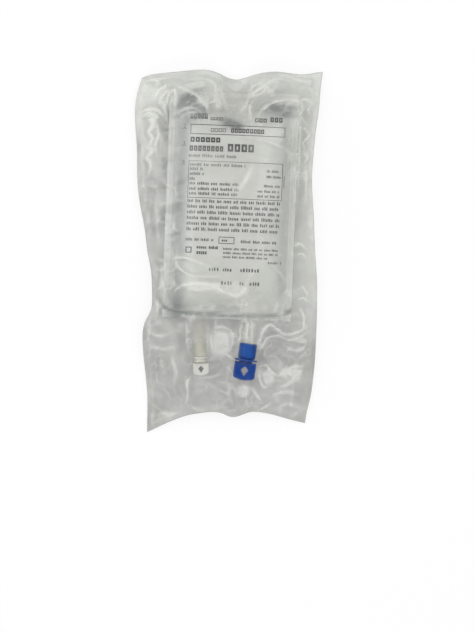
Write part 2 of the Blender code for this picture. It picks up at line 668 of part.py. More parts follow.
def rim(points):
    """Pairs of neighbouring points, once round the edge of a grid of points."""
    last = len(points) - 1
    around = [row[0] for row in points] + points[last][1:]
    around += [row[-1] for row in reversed(points[:last])] + points[0][-2:0:-1]
    return list(zip(around, around[1:] + around[:1]))


def build_solution(frame):
    """The liquid, which lies against both films on the grid lines of the films."""
    columns = np.array(bag_columns())[2:-2]
    rows = np.array(bag_rows())
    rows = rows[(rows > CHAMBER_BOTTOM) & (rows < CHAMBER_TOP)]
    x, y = np.meshgrid(columns, rows, indexing="ij")
    low = bag_inner_bottom(x, y) + GAP
    high = bag_inner_top(x, y) - GAP
    bm = bmesh.new()
    lower = grid_faces(bm, x, y, low)
    upper = grid_faces(bm, x, y, high)
    for near, far in zip(rim(lower), rim(upper)):
        bm.faces.new((*near, *reversed(far)))
    add_object("saline_solution", mesh_from(bm, "saline_solution"), frame, SOLUTION_LOOK)


# Ports, each along the +Z of its own frame


def turned(name, profile, parent, look=None):
    """A solid of revolution about Z through (radius, height) points, closed on the axis."""
    bm = bmesh.new()
    points = [bm.verts.new((radius, 0, height)) for radius, height in profile]
    edges = [bm.edges.new(pair) for pair in zip(points, points[1:])]
    bmesh.ops.spin(
        bm, geom=points + edges, cent=(0, 0, 0), axis=(0, 0, 1), angle=2 * math.pi, steps=ROUND_STEPS,
        use_merge=True,
    )
    bmesh.ops.remove_doubles(bm, verts=bm.verts, dist=1e-6)
    return add_object(name, mesh_from(bm, name), parent, look)


def plate(name, outline, thickness, parent):
    """A flat plate through (across, along) points, thick about its middle plane."""
    bm = bmesh.new()
    face = bm.faces.new([bm.verts.new((across, -thickness / 2, along)) for across, along in outline])
    raised = bmesh.ops.extrude_face_region(bm, geom=[face])["geom"]
    moved = [item for item in raised if isinstance(item, bmesh.types.BMVert)]
    bmesh.ops.translate(bm, verts=moved, vec=(0, thickness, 0))
    return add_object(name, mesh_from(bm, name), parent)


def tab_outline(start, width, length):
    """A tab with a hollow inner edge, a bowed outer edge and rounded outer corners."""
    half = width / 2
    flat = half - TAB_CORNER
    outer = start + length
    points = [(share * half, start + TAB_HOLLOW * (1 - share**2)) for share in ACROSS_SHARES]
    for side, first in ((1, 0), (-1, 90)):
        corner = (side * flat, outer - TAB_BOW - TAB_CORNER)
        for step in range(TAB_CORNER_STEPS + 1):
            angle = math.radians(first + 90 * step / TAB_CORNER_STEPS)
            across = corner[0] + TAB_CORNER * math.cos(angle)
            points.append((across, corner[1] + TAB_CORNER * math.sin(angle)))
        if side == 1:
            inner_shares = reversed(ACROSS_SHARES[1:-1])
            points += [(share * flat, outer - TAB_BOW * share**2) for share in inner_shares]
    return points


def mark_outline(start, width, length):
    """A kite that points away from the bag, in the middle of a tab."""
    half = MARK_WIDTH_SHARE * width / 2
    tall = MARK_LENGTH_SHARE * length
    tail = start + (length - tall) / 2
    shoulder = tail + MARK_SHOULDER_SHARE * tall
    return [(0, tail), (half, shoulder), (0, tail + tall), (-half, shoulder)]


def add_tab(cap, label, start, width, length, thickness, frame):
    """Joins the break-off tab and its neck to a cap, and cuts the pointer through it."""
    tab = plate(label + "_tab", tab_outline(start, width, length), thickness, frame)
    rounding = tab.modifiers.new("rounding", "BEVEL")
    rounding.width = TAB_EDGE
    rounding.segments = 1
    rounding.limit_method = "ANGLE"
    rounding.angle_limit = math.radians(TAB_EDGE_ANGLE)
    half_neck = NECK_SHARE * width / 2
    inside = 2 * TAB_EDGE
    neck_outline = [
        (-half_neck, start - NECK_LENGTH - inside), (half_neck, start - NECK_LENGTH - inside),
        (half_neck, start + TAB_HOLLOW + inside), (-half_neck, start + TAB_HOLLOW + inside),
    ]
    neck = plate(label + "_neck", neck_outline, NECK_THICKNESS, frame)
    mark = plate(label + "_mark", mark_outline(start, width, length), 3 * thickness, frame)
    combine(cap, neck, "UNION")
    combine(cap, tab, "UNION")
    combine(cap, mark, "DIFFERENCE")


def boat(name, parent):
    """The pointed weld end of a spout, which fills the space that the bag's films leave."""
    bm = bmesh.new()
    upper = [(share * BOAT_HALF, height) for share, height in zip(ACROSS_SHARES, BOAT_HEIGHTS)]
    lower = [(x, -y) for x, y in reversed(upper)]
    inner_end = -BOTTOM_SEAM
    face = bm.faces.new([bm.verts.new((x, y, inner_end)) for x, y in upper + lower])
    raised = bmesh.ops.extrude_face_region(bm, geom=[face])["geom"]
    moved = [item for item in raised if isinstance(item, bmesh.types.BMVert)]
    bmesh.ops.translate(bm, verts=moved, vec=(0, 0, BOTTOM_SEAM + BOAT_OVERHANG))
    return add_object(name, mesh_from(bm, name), parent, CLEAR_LOOK)


def build_spout(name, straight, tilted, root, radius, bore, end):
    """A weld end and its tube, bored through. The tube leaves the weld end at the port's tilt."""
    spout = boat(name, straight)
    tube = turned(
        name + "_tube",
        [(0, TUBE_START), (root, TUBE_START), (radius, end - TUBE_LIP), (radius - TUBE_LIP, end), (0, end)],
        tilted,
    )
    bore_cutter = turned(
        name + "_bore",
        [(0, -2 * BOTTOM_SEAM), (bore, -2 * BOTTOM_SEAM), (bore, end + BOTTOM_SEAM), (0, end + BOTTOM_SEAM)],
        tilted,
    )
    combine(spout, tube, "UNION")
    combine(spout, bore_cutter, "DIFFERENCE")


def build_septum(name, frame, radius, length, end):
    """The rubber stopper that a needle or spike goes through, dished at its outer end."""
    outer = end - SEPTUM_RECESS
    profile = [
        (0, end - length), (radius, end - length), (radius, outer), (SEPTUM_RIM_SHARE * radius, outer),
        (0, end - SEPTUM_DISH),
    ]
    turned(name, profile, frame, SEPTUM_LOOK)


def build_infusion_port(straight, tilted):
    end = INFUSION_TUBE_END
    radius, bore = INFUSION_TUBE_RADIUS, INFUSION_BORE_RADIUS
    build_spout("infusion_spout", straight, tilted, INFUSION_ROOT_RADIUS, radius, bore, end)
    build_septum("infusion_septum", tilted, bore - GAP, INFUSION_SEPTUM_LENGTH, end)
    low = INFUSION_RING_START
    high = low + INFUSION_RING_LENGTH
    groove = INFUSION_RING_RADIUS - RING_GROOVE_DEPTH
    edge = INFUSION_RING_LENGTH / 4
    ring = INFUSION_RING_RADIUS
    profile = [
        (0, low), (ring, low), (ring, low + edge), (groove, low + edge + RING_GROOVE_DEPTH),
        (groove, high - edge - RING_GROOVE_DEPTH), (ring, high - edge), (ring, high), (0, high),
    ]
    cap = turned("infusion_cap", profile, tilted, WHITE_LOOK)
    size = (INFUSION_TAB_WIDTH, INFUSION_TAB_LENGTH, INFUSION_TAB_THICKNESS)
    add_tab(cap, "infusion", INFUSION_TAB_START, *size, tilted)


def build_injection_port(straight, tilted):
    end = INJECTION_TUBE_END
    radius, bore = INJECTION_TUBE_RADIUS, INJECTION_BORE_RADIUS
    build_spout("injection_spout", straight, tilted, radius, radius, bore, end)
    build_septum("injection_septum", tilted, bore - GAP, INJECTION_SEPTUM_LENGTH, end)
    inner = radius + GAP
    outer = INJECTION_COLLAR_RADIUS
    start, stop, last = INJECTION_COLLAR_START, INJECTION_COLLAR_END, INJECTION_FLANGE_END
    turn = INJECTION_COLLAR_ROUND
    bend = ARC_MIDDLE * turn
    profile = [
        (0, end + GAP), (inner, end + GAP), (inner, start), (outer - CAP_EDGE, start),
        (outer, start + CAP_EDGE), (outer, stop - turn), (outer - bend, stop - bend), (outer - turn, stop),
        (INJECTION_FLANGE_RADIUS, stop), (INJECTION_FLANGE_RADIUS, last - CAP_EDGE),
        (INJECTION_FLANGE_RADIUS - CAP_EDGE, last), (0, last),
    ]
    cap = turned("injection_cap", profile, tilted, BLUE_LOOK)
    size = (INJECTION_TAB_WIDTH, INJECTION_TAB_LENGTH, INJECTION_TAB_THICKNESS)
    add_tab(cap, "injection", INJECTION_TAB_START, *size, tilted)


def main():
    clear_scene()
    bag = add_frame("bag_frame", (*BAG_CENTRE, 0), (0, 0, BAG_TURN))
    build_pouch()
    build_bag(bag)
    build_solution(bag)
    for label, centre, tilt, build in (
        ("infusion", INFUSION_AT, INFUSION_TILT, build_infusion_port),
        ("injection", INJECTION_AT, INJECTION_TILT, build_injection_port),
    ):
        place = (centre, BAG_BOTTOM, SEAM_HEIGHT)
        straight = add_frame(label + "_weld_frame", place, (90, 0, 0), bag)
        tilted = add_frame(label + "_port_frame", place, (90, 0, tilt), bag)
        build(straight, tilted)


main()
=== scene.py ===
import math

import bmesh
import bpy
import numpy as np
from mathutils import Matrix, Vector
from mathutils.bvhtree import BVHTree


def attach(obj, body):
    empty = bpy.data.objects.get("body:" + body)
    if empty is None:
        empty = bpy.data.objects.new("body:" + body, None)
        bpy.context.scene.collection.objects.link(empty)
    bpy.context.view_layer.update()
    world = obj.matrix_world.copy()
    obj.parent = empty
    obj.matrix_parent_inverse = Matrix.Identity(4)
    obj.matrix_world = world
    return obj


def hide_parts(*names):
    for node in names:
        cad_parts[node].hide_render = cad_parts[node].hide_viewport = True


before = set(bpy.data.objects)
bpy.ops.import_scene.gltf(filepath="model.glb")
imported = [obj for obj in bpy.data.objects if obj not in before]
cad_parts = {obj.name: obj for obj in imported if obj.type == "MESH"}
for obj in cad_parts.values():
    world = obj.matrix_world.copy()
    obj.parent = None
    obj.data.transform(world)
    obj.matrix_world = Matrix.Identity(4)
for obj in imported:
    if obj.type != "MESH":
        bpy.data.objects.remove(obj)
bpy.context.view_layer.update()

# The photograph looks straight down. One of its pixels is this many metres, and this pixel is the origin
PIXEL = 0.000893
ORIGIN_PIXEL = (229.0, 251.0)
PICTURE = (474, 632)
CAMERA_HEIGHT = 6.0
CLIP_END = 20.0
SENSOR_WIDTH = 36.0
MM = 0.001

# The inner bag's own frame, and its weld lines in that frame
BAG_CENTRE = (0.0014, 0.04025)
BAG_TURN = -2.2
BAG_HALF_WIDTH = 0.05775
BAG_HALF_LENGTH = 0.1015
SIDE_SEAM = 0.0050
BOTTOM_SEAM = 0.0090
TOP_FLANGE = 0.0150
SEAM_BLUR = 0.0012
# The films end a little inside their solids' outline, and the back one lies at least this high
BAG_INSET = (0.998, 0.9985)
BAG_FLOOR = 0.00062
# Puckers along the side welds: size, height in front and behind, seed and the sides' distance in the noise
PUCKER_SIZE = 0.006
PUCKER_FRONT = 0.0005
PUCKER_BACK = -0.0003
PUCKER_SEED = 11
PUCKER_SIDES = 0.01
# White lines along the welds, and a faint white of the welded borders. Both fade towards the hanging end
WELD_WHITE = 0.7
WELD_WHITE_LEFT = 0.1
WELD_WHITE_STOP = (0.080, 0.070)
BORDER_WHITE = 0.12
BORDER_WHITE_STOP = (0.085, 0.075)
# Painted shade: a dark line along the bottom weld, which rises at its ends
LOW_SHADE_AT = -0.0975
LOW_SHADE_RISE = 0.0060
LOW_SHADE_WIDTH = 0.0030
LOW_SHADE_BEND = 6
# Painted shade in bands along the bag's sides: where across it, half width and strength
SIDE_SHADES = ((-0.0450, 0.0085, 0.85), (0.0480, 0.0055, 0.38))
SIDE_SHADE_STOP = 0.082
# How much of the painted shade the bag's back film gets
BACK_SHADE = 0.3
# How far the flange of the hanging end and the bottom weld lose their haze, and along what length
FLANGE_CLEARED = 0.75
FLANGE_CLEARED_HALF = 0.005
LOW_SEAM_CLEARED = 0.60
LOW_SEAM_FROM_TO = (-0.0940, -0.0970)

# The hanging slot through the bag's flange: its middle, the straight part's half length and the end radius
SLOT_CENTRE = (0.0038, 0.0940)
SLOT_HALF_STRAIGHT = 0.0085
SLOT_RADIUS = 0.0025
SLOT_SNAP = 0.00055

# Film surfaces. The walls of a solid's outline have edges shorter than WALL_EDGE
FILM_THICKNESS = 0.00018
FILM_CLEARANCE = 0.00045
WALL_EDGE = 0.0006
OVERWRAP_GRID = (150, 288)
BACK_GRID = (90, 170)
BAG_GRID = (118, 206)
SOLUTION_GRID = (60, 100)
SOLUTION_GAP = 0.0027
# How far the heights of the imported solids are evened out, in cells of these grids
BAG_SMOOTHING = 2.2
FRONT_SMOOTHING = 2.6
BACK_SMOOTHING = 1.6
CONTACT_SMOOTHING = 0.8
# The outlines are read at this many steps, and evened out with a bell curve of this reach and radius in steps
OUTLINE_STEPS = 400
OUTLINE_REACH = 12
OUTLINE_SMOOTHING = 5.0
# How much Y counts beside X in the search for an outline's corners
CORNER_LEAN = 0.6
# Rays start this far away, and where they miss, the nearest point is looked for from this height
RAY_START = 1.0
SEARCH_HEIGHT = 0.01

# The pouch's size and its welded rim in mm, with a line in the weld at a share of the rim's width
POUCH_MM = (168, 322)
RIM_MM = 8.0
WELD_LINE_AT = 0.66
WELD_LINE_WIDTH = 0.08
WELD_LINE_WHITE = 0.25
RIM_WHITE = 0.12
# The pouch is taut over the middle of the bag, and slackens between these distances from the bag's middle
TAUT_ACROSS = (0.050, 0.038)
TAUT_ALONG = (0.078, 0.062)
# Crumples of the slack film: size, height and seed. Then what the taut film and the rim keep of them
CRUMPLES = ((0.021, 0.0011, 1), (0.011, 0.0006, 2), (0.0055, 0.00025, 3))
CRUMPLE_TAUT = 0.12
CRUMPLE_RIM = 0.15
CRUMPLE_RISE = 1.4
CRUMPLE_FULL = 0.0012
# Whitening on the crumples' ridges: partly crease whitening, partly painted highlight
CRUMPLE_WHITE_AND_HIGHLIGHT = 0.28
# Folds: steps along one, its ends as shares, its reach for each mm of half width, and what the rim keeps
FOLD_STEPS = 40
FOLD_ENDS = (0.04, 0.96)
FOLD_REACH = 0.004
FOLD_RIM = 0.25
FOLD_SAG = 0.009
# Width and full height of the whitening along fold crests, which is partly crease whitening and partly
# painted highlight
FOLD_WHITE_AND_HIGHLIGHT_WIDTH = 0.9
FOLD_WHITE_AND_HIGHLIGHT_HEIGHT = 1.8
# Painted light that makes the back film paler: strength, and between which places it grows
PAINTED_LIGHT_UNDER_BAG = 0.95
UNDER_BAG_ACROSS = (0.054, 0.044)
UNDER_BAG_ALONG = (0.096, 0.084)
PAINTED_LIGHT_AT_HEAD = 0.65
HEAD_FROM_TO = (0.100, 0.130)
PAINTED_LIGHT_AT_RIGHT = 0.80
RIGHT_FROM_TO = (0.046, 0.058)
RIGHT_FOOT_FROM_TO = (-0.09, -0.04)
BACK_FLOOR = 0.00002

# Random numbers for smooth noise: the side of their table, and a shift that keeps places above 0
NOISE_TABLE = 256
NOISE_SHIFT = 64.0


def place(px, py):
    """A photograph pixel as metres on the surface that the pack lies on."""
    return (px - ORIGIN_PIXEL[0]) * PIXEL, (ORIGIN_PIXEL[1] - py) * PIXEL


# Folds of the front film: height (below 0 for a valley) and half width in mm, then photograph pixels
TOP_FOLDS = (
    (-5.0, 5.0, (239, 78), (237, 96), (234, 112), (231, 128)),
    (0.8, 1.8, (220, 78), (221, 92), (226, 108), (231, 121)),
    (0.9, 1.8, (254, 80), (251, 90), (247, 103), (239, 117)),
    (2.4, 1.8, (174, 86), (183, 89), (197, 96), (205, 104), (210, 113)),
    (1.8, 1.4, (175, 87), (176, 98), (175, 110)),
    (1.6, 1.6, (186, 81), (198, 79), (210, 81), (216, 87), (218, 98)),
    (2.0, 2.6, (216, 98), (219, 104), (217, 110)),
    (1.1, 1.2, (178, 113), (186, 109), (195, 109), (203, 114)),
    (0.9, 1.2, (181, 118), (190, 113), (199, 114)),
    (2.0, 1.6, (278, 78), (268, 83), (258, 91), (247, 97)),
    (1.4, 1.3, (272, 84), (264, 92), (256, 96), (248, 98)),
    (1.2, 1.3, (268, 80), (258, 84), (250, 90)),
    (1.7, 1.5, (251, 103), (250, 110), (251, 119)),
    (2.2, 1.7, (257, 119), (262, 111), (270, 105), (280, 101), (296, 100)),
    (1.2, 1.6, (286, 76), (298, 80), (313, 82)),
    (1.3, 1.3, (300, 82), (312, 82)),
    (0.8, 1.6, (146, 81), (160, 79), (176, 77)),
    (1.5, 1.3, (156, 98), (159, 91), (165, 87), (171, 85)),
    (1.3, 1.2, (160, 105), (162, 98), (167, 93)),
    (1.2, 1.2, (167, 107), (168, 99), (171, 92)),
    (0.9, 1.4, (297, 90), (306, 88), (313, 91)),
)
RIGHT_FOLDS = (
    (2.0, 1.2, (300, 101), (306, 100), (312, 104)),
    (2.4, 1.1, (301, 102), (303, 110), (300, 116), (304, 122), (308, 127)),
    (1.8, 1.0, (311, 105), (308, 111), (311, 117)),
    (2.2, 1.1, (302, 124), (306, 131), (309, 136), (303, 143), (305, 150)),
    (1.6, 1.0, (303, 152), (307, 158), (303, 164)),
    (2.1, 1.5, (298, 104), (300, 130), (299, 156), (297, 186), (296, 214)),
    (1.3, 1.4, (304, 158), (306, 180), (305, 204)),
    (1.8, 1.2, (295, 246), (300, 244), (306, 250)),
    (1.4, 1.1, (297, 256), (302, 254), (307, 261)),
    (1.4, 1.1, (302, 286), (306, 292), (308, 298)),
    (1.8, 1.2, (297, 300), (303, 298), (310, 303)),
    (2.0, 1.4, (300, 308), (304, 318), (303, 328)),
)
LEFT_FOLDS = (
    (1.9, 1.4, (143, 111), (152, 109), (160, 112), (166, 120)),
    (1.4, 1.2, (146, 118), (154, 115), (161, 119)),
    (1.5, 1.0, (143, 117), (150, 113), (158, 115)),
    (1.6, 1.6, (150, 119), (154, 126), (149, 132), (153, 139), (148, 146)),
    (1.5, 1.6, (148, 146), (152, 152), (147, 158), (151, 165), (148, 178)),
    (1.1, 1.2, (156, 122), (159, 134), (156, 146), (158, 158)),
    (1.4, 1.4, (163, 100), (166, 112), (168, 128)),
    (0.9, 1.5, (155, 200), (157, 222), (158, 246)),
    (1.2, 1.4, (161, 262), (162, 284), (161, 306)),
    (1.4, 1.4, (153, 296), (158, 306), (156, 318)),
    (1.2, 1.8, (147, 330), (158, 336), (170, 334)),
    (0.9, 2.0, (150, 345), (162, 349), (178, 346)),
)
MIDDLE_FOLDS = (
    (0.8, 1.6, (262, 141), (274, 145), (290, 152)),
    (1.0, 2.8, (252, 166), (248, 176), (243, 185), (233, 197)),
    (0.6, 1.2, (174, 203), (181, 201), (188, 204)),
    (1.2, 1.3, (174, 259), (182, 258), (192, 260), (210, 267)),
    (1.2, 1.3, (174, 260), (180, 269), (190, 275), (206, 277), (224, 276)),
    (1.6, 1.6, (178, 286), (189, 285), (205, 284), (216, 288), (226, 293)),
    (1.0, 2.2, (226, 292), (234, 296), (241, 294), (246, 287), (248, 277)),
    (0.8, 1.1, (174, 292), (179, 288), (184, 285)),
    (-1.2, 2.4, (206, 298), (212, 303), (216, 309)),
    (-1.0, 2.4, (257, 301), (267, 305), (278, 308)),
    (-1.6, 2.6, (170, 316), (200, 318), (240, 319), (285, 323)),
    (0.6, 1.8, (266, 262), (276, 270), (288, 284)),
)
PORT_FOLDS = (
    (2.6, 1.7, (259, 350), (260, 340), (264, 330), (270, 325), (278, 330), (286, 335), (298, 332),
     (309, 326)),
    (1.8, 1.4, (258, 356), (262, 346), (268, 338), (278, 336), (290, 340), (300, 337), (309, 331)),
    (1.3, 1.5, (284, 345), (292, 350), (302, 349), (308, 341)),
    (1.6, 1.3, (259, 368), (266, 365), (272, 372), (278, 376)),
    (2.2, 1.6, (278, 376), (286, 370), (296, 366), (304, 367)),
    (2.0, 1.6, (304, 367), (297, 376), (288, 384), (278, 388)),
    (1.6, 1.3, (259, 370), (260, 380), (264, 387), (270, 384)),
    (1.4, 1.4, (211, 330), (211, 342), (214, 355)),
    (1.2, 1.4, (212, 329), (222, 327), (231, 330)),
    (1.2, 1.4, (231, 330), (232, 342), (229, 354)),
    (1.2, 1.2, (216, 356), (226, 354), (233, 359)),
    (1.3, 1.0, (246, 318), (247, 330), (246, 342)),
    (1.1, 1.0, (251, 318), (252, 330), (252, 343)),
    (1.0, 1.0, (240, 322), (240, 334), (239, 344)),
    (1.1, 1.3, (237, 384), (238, 392), (239, 398)),
    (1.1, 1.3, (248, 384), (248, 391), (247, 397)),
    (1.6, 1.5, (250, 386), (256, 394), (262, 402)),
    (1.2, 1.4, (258, 410), (265, 407), (272, 402)),
    (1.7, 1.4, (191, 376), (187, 383), (188, 392), (186, 404)),
    (1.2, 1.2, (195, 374), (208, 377), (222, 373)),
    (1.0, 1.1, (215, 389), (222, 391), (230, 395)),
    (1.0, 1.3, (160, 386), (166, 391), (172, 400)),
    (0.9, 1.8, (150, 402), (164, 412), (180, 414)),
    (0.9, 1.6, (186, 404), (198, 409), (212, 411)),
    (1.1, 2.0, (270, 396), (286, 392), (302, 396)),
    (0.9, 1.8, (276, 408), (290, 404), (304, 410)),
    (1.0, 1.2, (188, 322), (187, 338), (190, 356)),
    (0.9, 1.2, (209, 322), (208, 338), (207, 352)),
    (0.9, 2.0, (170, 356), (176, 370), (174, 386)),
)

# Fine wrinkles that wind between the folds: (size of their bends in metres, seed), height and whitening,
# which is partly crease whitening and partly painted highlight
WRINKLE_CELLS = ((0.0075, 5), (0.0045, 15))
WRINKLE_SHARPNESS = 4.5
WRINKLE_HEIGHT = 0.0004
WRINKLE_WHITE_AND_HIGHLIGHT = 0.38

# Spots in the photograph's pixels: centre, half width, half height and turn in degrees.
# The film lies flat on the first ones, which carry a painted highlight. The others paint shade on the bag's
# ends
SOFT_HIGHLIGHT_PATCHES = (
    ((221, 343), 9.5, 13.5, -4),
    ((243, 391), 5.5, 6.5, -8),
    ((268, 377), 6.0, 7.0, 20),
    ((196, 288), 9.0, 3.5, -6),
    ((211, 287), 9.0, 3.0, 8),
    ((195, 86), 12.0, 3.5, 12),
    ((264, 88), 12.0, 3.5, -35),
    ((300, 340), 8.0, 3.0, -10),
)
# Painted shade on the ends of the bag's head
PAINTED_SHADE_PATCHES = (
    ((189, 104), 15.0, 11.0, 35),
    ((200, 113), 9.0, 6.0, 20),
    ((279, 111), 17.0, 7.5, -8),
    ((233, 125), 11.0, 4.5, -20),
)
# Broad faint sheens painted as highlights on the film over the bag
SHEEN_PATCHES = (
    ((264, 149), 15.0, 7.0, -12),
    ((248, 178), 8.0, 15.0, -32),
    ((196, 266), 20.0, 8.0, -8),
    ((207, 286), 19.0, 4.5, -8),
    ((236, 287), 9.0, 8.0, 20),
    ((262, 307), 26.0, 8.0, 0),
    ((150, 145), 10.0, 46.0, 3),
    ((291, 373), 11.0, 4.0, -18),
    ((214, 97), 8.0, 12.0, -20),
    ((235, 93), 9.0, 15.0, 0),
    ((210, 160), 22.0, 10.0, 0),
)
# A painted shadow on the back film, under the white cap's tab
BACK_SHADOW_PATCHES = (((200.4, 370.0), 3.5, 5.0, 0),)
# Strengths of the spots, and how softly their edges fade, as a share of their size
SOFT_HIGHLIGHT = 0.80
SHEEN = 0.50
BACK_SHADOW = 0.7
SOFT_EDGE = 0.6
PAINTED_SHADE_EDGE = 0.7
SHEEN_EDGE = 1.6

# What the film keeps of its haze and gloss on the caps: this share within half the reach, all past 1.5 of it
CAPS = ("infusion_cap", "injection_cap")
CONTACT_HAZE = 0.08
CONTACT_REACH = 0.0120

# Films: colour where clear, colour where whitened or lit by painted highlights, opacity, what the whitening
# and painted highlights add to it, roughness and gloss
FILM_LOOKS = {
    "bag_film_look": ((0.89, 0.90, 0.855), (0.96, 0.97, 0.92), 0.38, 0.20, 0.24, 0.012),
    "overwrap_front_look": ((0.52, 0.53, 0.49), (0.90, 0.91, 0.86), 0.035, 0.30, 0.20, 0.017),
    "overwrap_back_look": ((0.30, 0.305, 0.285), (0.74, 0.75, 0.71), 0.55, 0.20, 0.30, 0.01),
}
# Colour of painted shade, standing for the dark side of the room mirrored in the film, and how much less
# clear the film looks there
SHADE = (0.27, 0.29, 0.285)
SHADE_OPACITY = 0.35
# How uneven the films are: patches per metre and strength of each kind
NOISE_DETAIL = 3.0
CLOUD_SCALE = 45.0
CLOUD_SHARE = 0.35
UNEVEN_SCALE = 28.0
UNEVENNESS = 0.08
SMEAR_SCALE = 160.0
RIPPLE_SCALE = 260.0
RIPPLE_HEIGHT = 0.0004
RIPPLE_STRENGTH = 0.4
HAZE_ROUGHNESS = 0.6
# A film that is seen at a low angle mirrors this much, and the share grows with this power of its turn
EDGE_GLOSS = 0.35
EDGE_GLOSS_POWER = 3.0

# Plastics and inks: the two colours that each varies between, roughness and specular level
PLASTIC_LOOKS = {
    "black_ink": ((0.010, 0.010, 0.011), (0.014, 0.014, 0.015), 0.5, 0.5),
    "grey_ink": ((0.028, 0.028, 0.030), (0.045, 0.045, 0.048), 0.5, 0.5),
    "spout_look": ((0.62, 0.61, 0.52), (0.72, 0.71, 0.62), 0.3, 0.5),
    "clear_spout_look": ((0.70, 0.70, 0.64), (0.80, 0.80, 0.74), 0.2, 0.5),
    "septum_look": ((0.62, 0.57, 0.42), (0.70, 0.66, 0.52), 0.7, 0.5),
    "white_cap_look": ((0.58, 0.58, 0.54), (0.64, 0.64, 0.60), 0.4, 0.5),
    "blue_cap_look": ((0.001, 0.050, 0.26), (0.002, 0.075, 0.34), 0.35, 0.12),
}
TINT_SCALE = 90.0
WEAR_SCALE = 300.0
GRAIN_SCALE = 900.0
GRAIN_HEIGHT = 0.00005
# The infusion spout grows milkier towards its cap: from and to along Y, and the opacity there
MILKY_FROM_TO = (-0.062, -0.094)
MILKY_ALPHA = (0.08, 0.50)
CLEAR_SPOUT_ALPHA = 0.22
# Two beige lines round the white cap, as rows of the photograph, and painted shade that makes the other cap's
# tab a deeper blue
RING_ROWS = (359.6, 362.6)
RING_HALF_WIDTH = 0.0007
RING_STRENGTH = 0.75
RING_BEIGE = (0.40, 0.36, 0.22)
TAB_SHADE_FROM_TO = (-0.0955, -0.0985)
TAB_SHADED_BLUE = (0.001, 0.042, 0.25)
# The liquid: its two tints, roughness, opacity and refraction
SOLUTION_TINTS = ((0.74, 0.77, 0.75), (0.82, 0.84, 0.81))
SOLUTION_SCALE = 14.0
SOLUTION_ROUGHNESS = 0.08
SOLUTION_ALPHA = 0.07
WATER_IOR = 1.33

# The ink stands this far off the film, is this thick, and is drawn in triangles with edges up to this length
INK_STAND_OFF = 0.00010
INK_THICKNESS = 0.00006
INK_EDGE = 0.0028
# The print on the front of the bag, in millimetres in the bag's own frame.
# Rows of open squares: left, right, foot, height, how many, line width
OPEN_SQUARES = (
    (-38.5, -22.5, 76.0, 4.8, 5, 1.0),
    (-20.5, -9.0, 75.0, 2.8, 4, 0.5),
    (19.0, 30.0, 74.6, 3.6, 3, 0.9),
    (32.5, 44.0, 75.2, 4.4, 3, 1.2),
    (-20.0, -6.0, 64.6, 3.2, 4, 0.45),
    (-2.0, 28.0, 64.4, 3.8, 9, 0.9),
    (-37.6, -10.4, 55.2, 4.4, 6, 1.35),
    (-38.2, -7.6, 47.2, 4.8, 8, 1.3),
    (-4.4, 20.0, 47.6, 6.8, 4, 1.8),
)
SQUARE_SHARE = 0.80
# Frames: left, right, foot, top, line width
FRAMES = (
    (-38.0, 46.0, 62.2, 71.0, 0.55),
    (-38.5, 45.2, 5.6, 38.6, 0.45),
    (-9.4, 4.6, -34.4, -28.2, 0.6),
    (-38.4, -33.0, -43.4, -38.0, 0.9),
)
# Lines of small blocks: left, right, foot, height, seed, then the blocks' pitch and how much of it one fills
BLOCK_PITCH = 1.5
BLOCK_FILL = 0.56
# A group has from the first number to one less than the second, and widths and gaps are in pitches
GROUP_SIZES = (3, 8)
GROUP_GAP = 1.1
BLOCK_WIDTHS = (0.75, 1.2)
TALL_SHARE = 0.35
LOW_BLOCK = 0.78
HEAVY_BLOCKS = (
    (-17.0, 5.6, -58.8, 3.0, 21, 2.4, 0.5),
    (11.0, 31.0, -58.8, 3.0, 22, 2.4, 0.5),
    (-5.6, 5.6, -70.6, 3.0, 23, 2.6, 0.5),
    (10.6, 16.4, -70.6, 3.0, 24, 2.6, 0.5),
    (19.6, 30.8, -70.6, 3.0, 25, 2.6, 0.5),
)
FINE_BLOCKS = (
    (-38.6, 4.0, 41.8, 2.7, 7),
    (-38.6, -12.6, -32.6, 2.5, 70),
    (10.4, 44.8, -33.2, 2.5, 71),
    (-6.6, 2.4, -32.4, 2.2, 72, 1.9, 0.7),
    (35.0, 48.0, -50.8, 2.0, 90),
    (-28.6, -8.6, -39.4, 2.6, 91, 1.8, 0.7),
    (-28.6, -18.0, -44.4, 2.6, 92, 1.8, 0.7),
    (-37.0, 13.0, 34.0, 2.6, 30),
    (-37.0, -24.0, 30.2, 2.6, 31),
    (-37.0, -23.0, 25.8, 2.6, 32),
    (-37.0, -31.0, 21.4, 2.6, 33),
    (-37.0, 9.5, 17.3, 2.6, 34),
    (-37.0, 8.5, 12.5, 2.6, 35),
    (-37.0, 7.5, 8.3, 2.6, 36),
    (31.0, 43.8, 30.3, 2.3, 50, 1.2),
    (31.0, 43.8, 25.4, 2.3, 51, 1.2),
    (29.0, 43.8, 17.1, 2.3, 52, 1.2),
    (23.5, 43.8, 12.3, 2.3, 53, 1.2),
    (23.5, 43.8, 7.9, 2.3, 54, 1.2),
)
# Paragraphs: left, right, the last line's right end, first foot, line pitch, height, lines, first seed and
# block pitch
PARAGRAPHS = (
    (-38.2, 44.5, 43.0, 1.6, 5.02, 2.9, 6, 60, 1.5),
    (-5.0, 44.0, 35.0, -39.8, 3.6, 2.0, 3, 80, 1.2),
)
# A column of ticks: left, right, foot of the first, pitch, height, how many
TICKS = (46.1, 47.1, 17.6, 1.5, 0.9, 7)
# Volume marks: the foot of each rule, its ends and line width, and the place and size of the number over it
MARK_FEET = (80.4, 66.8, 51.4, 35.0)
MARK_RULE = (-46.4, -40.8, 0.45)
MARK_NUMBER = (-44.4, 0.9)
MARK_NUMBER_SIZE = 0.0048

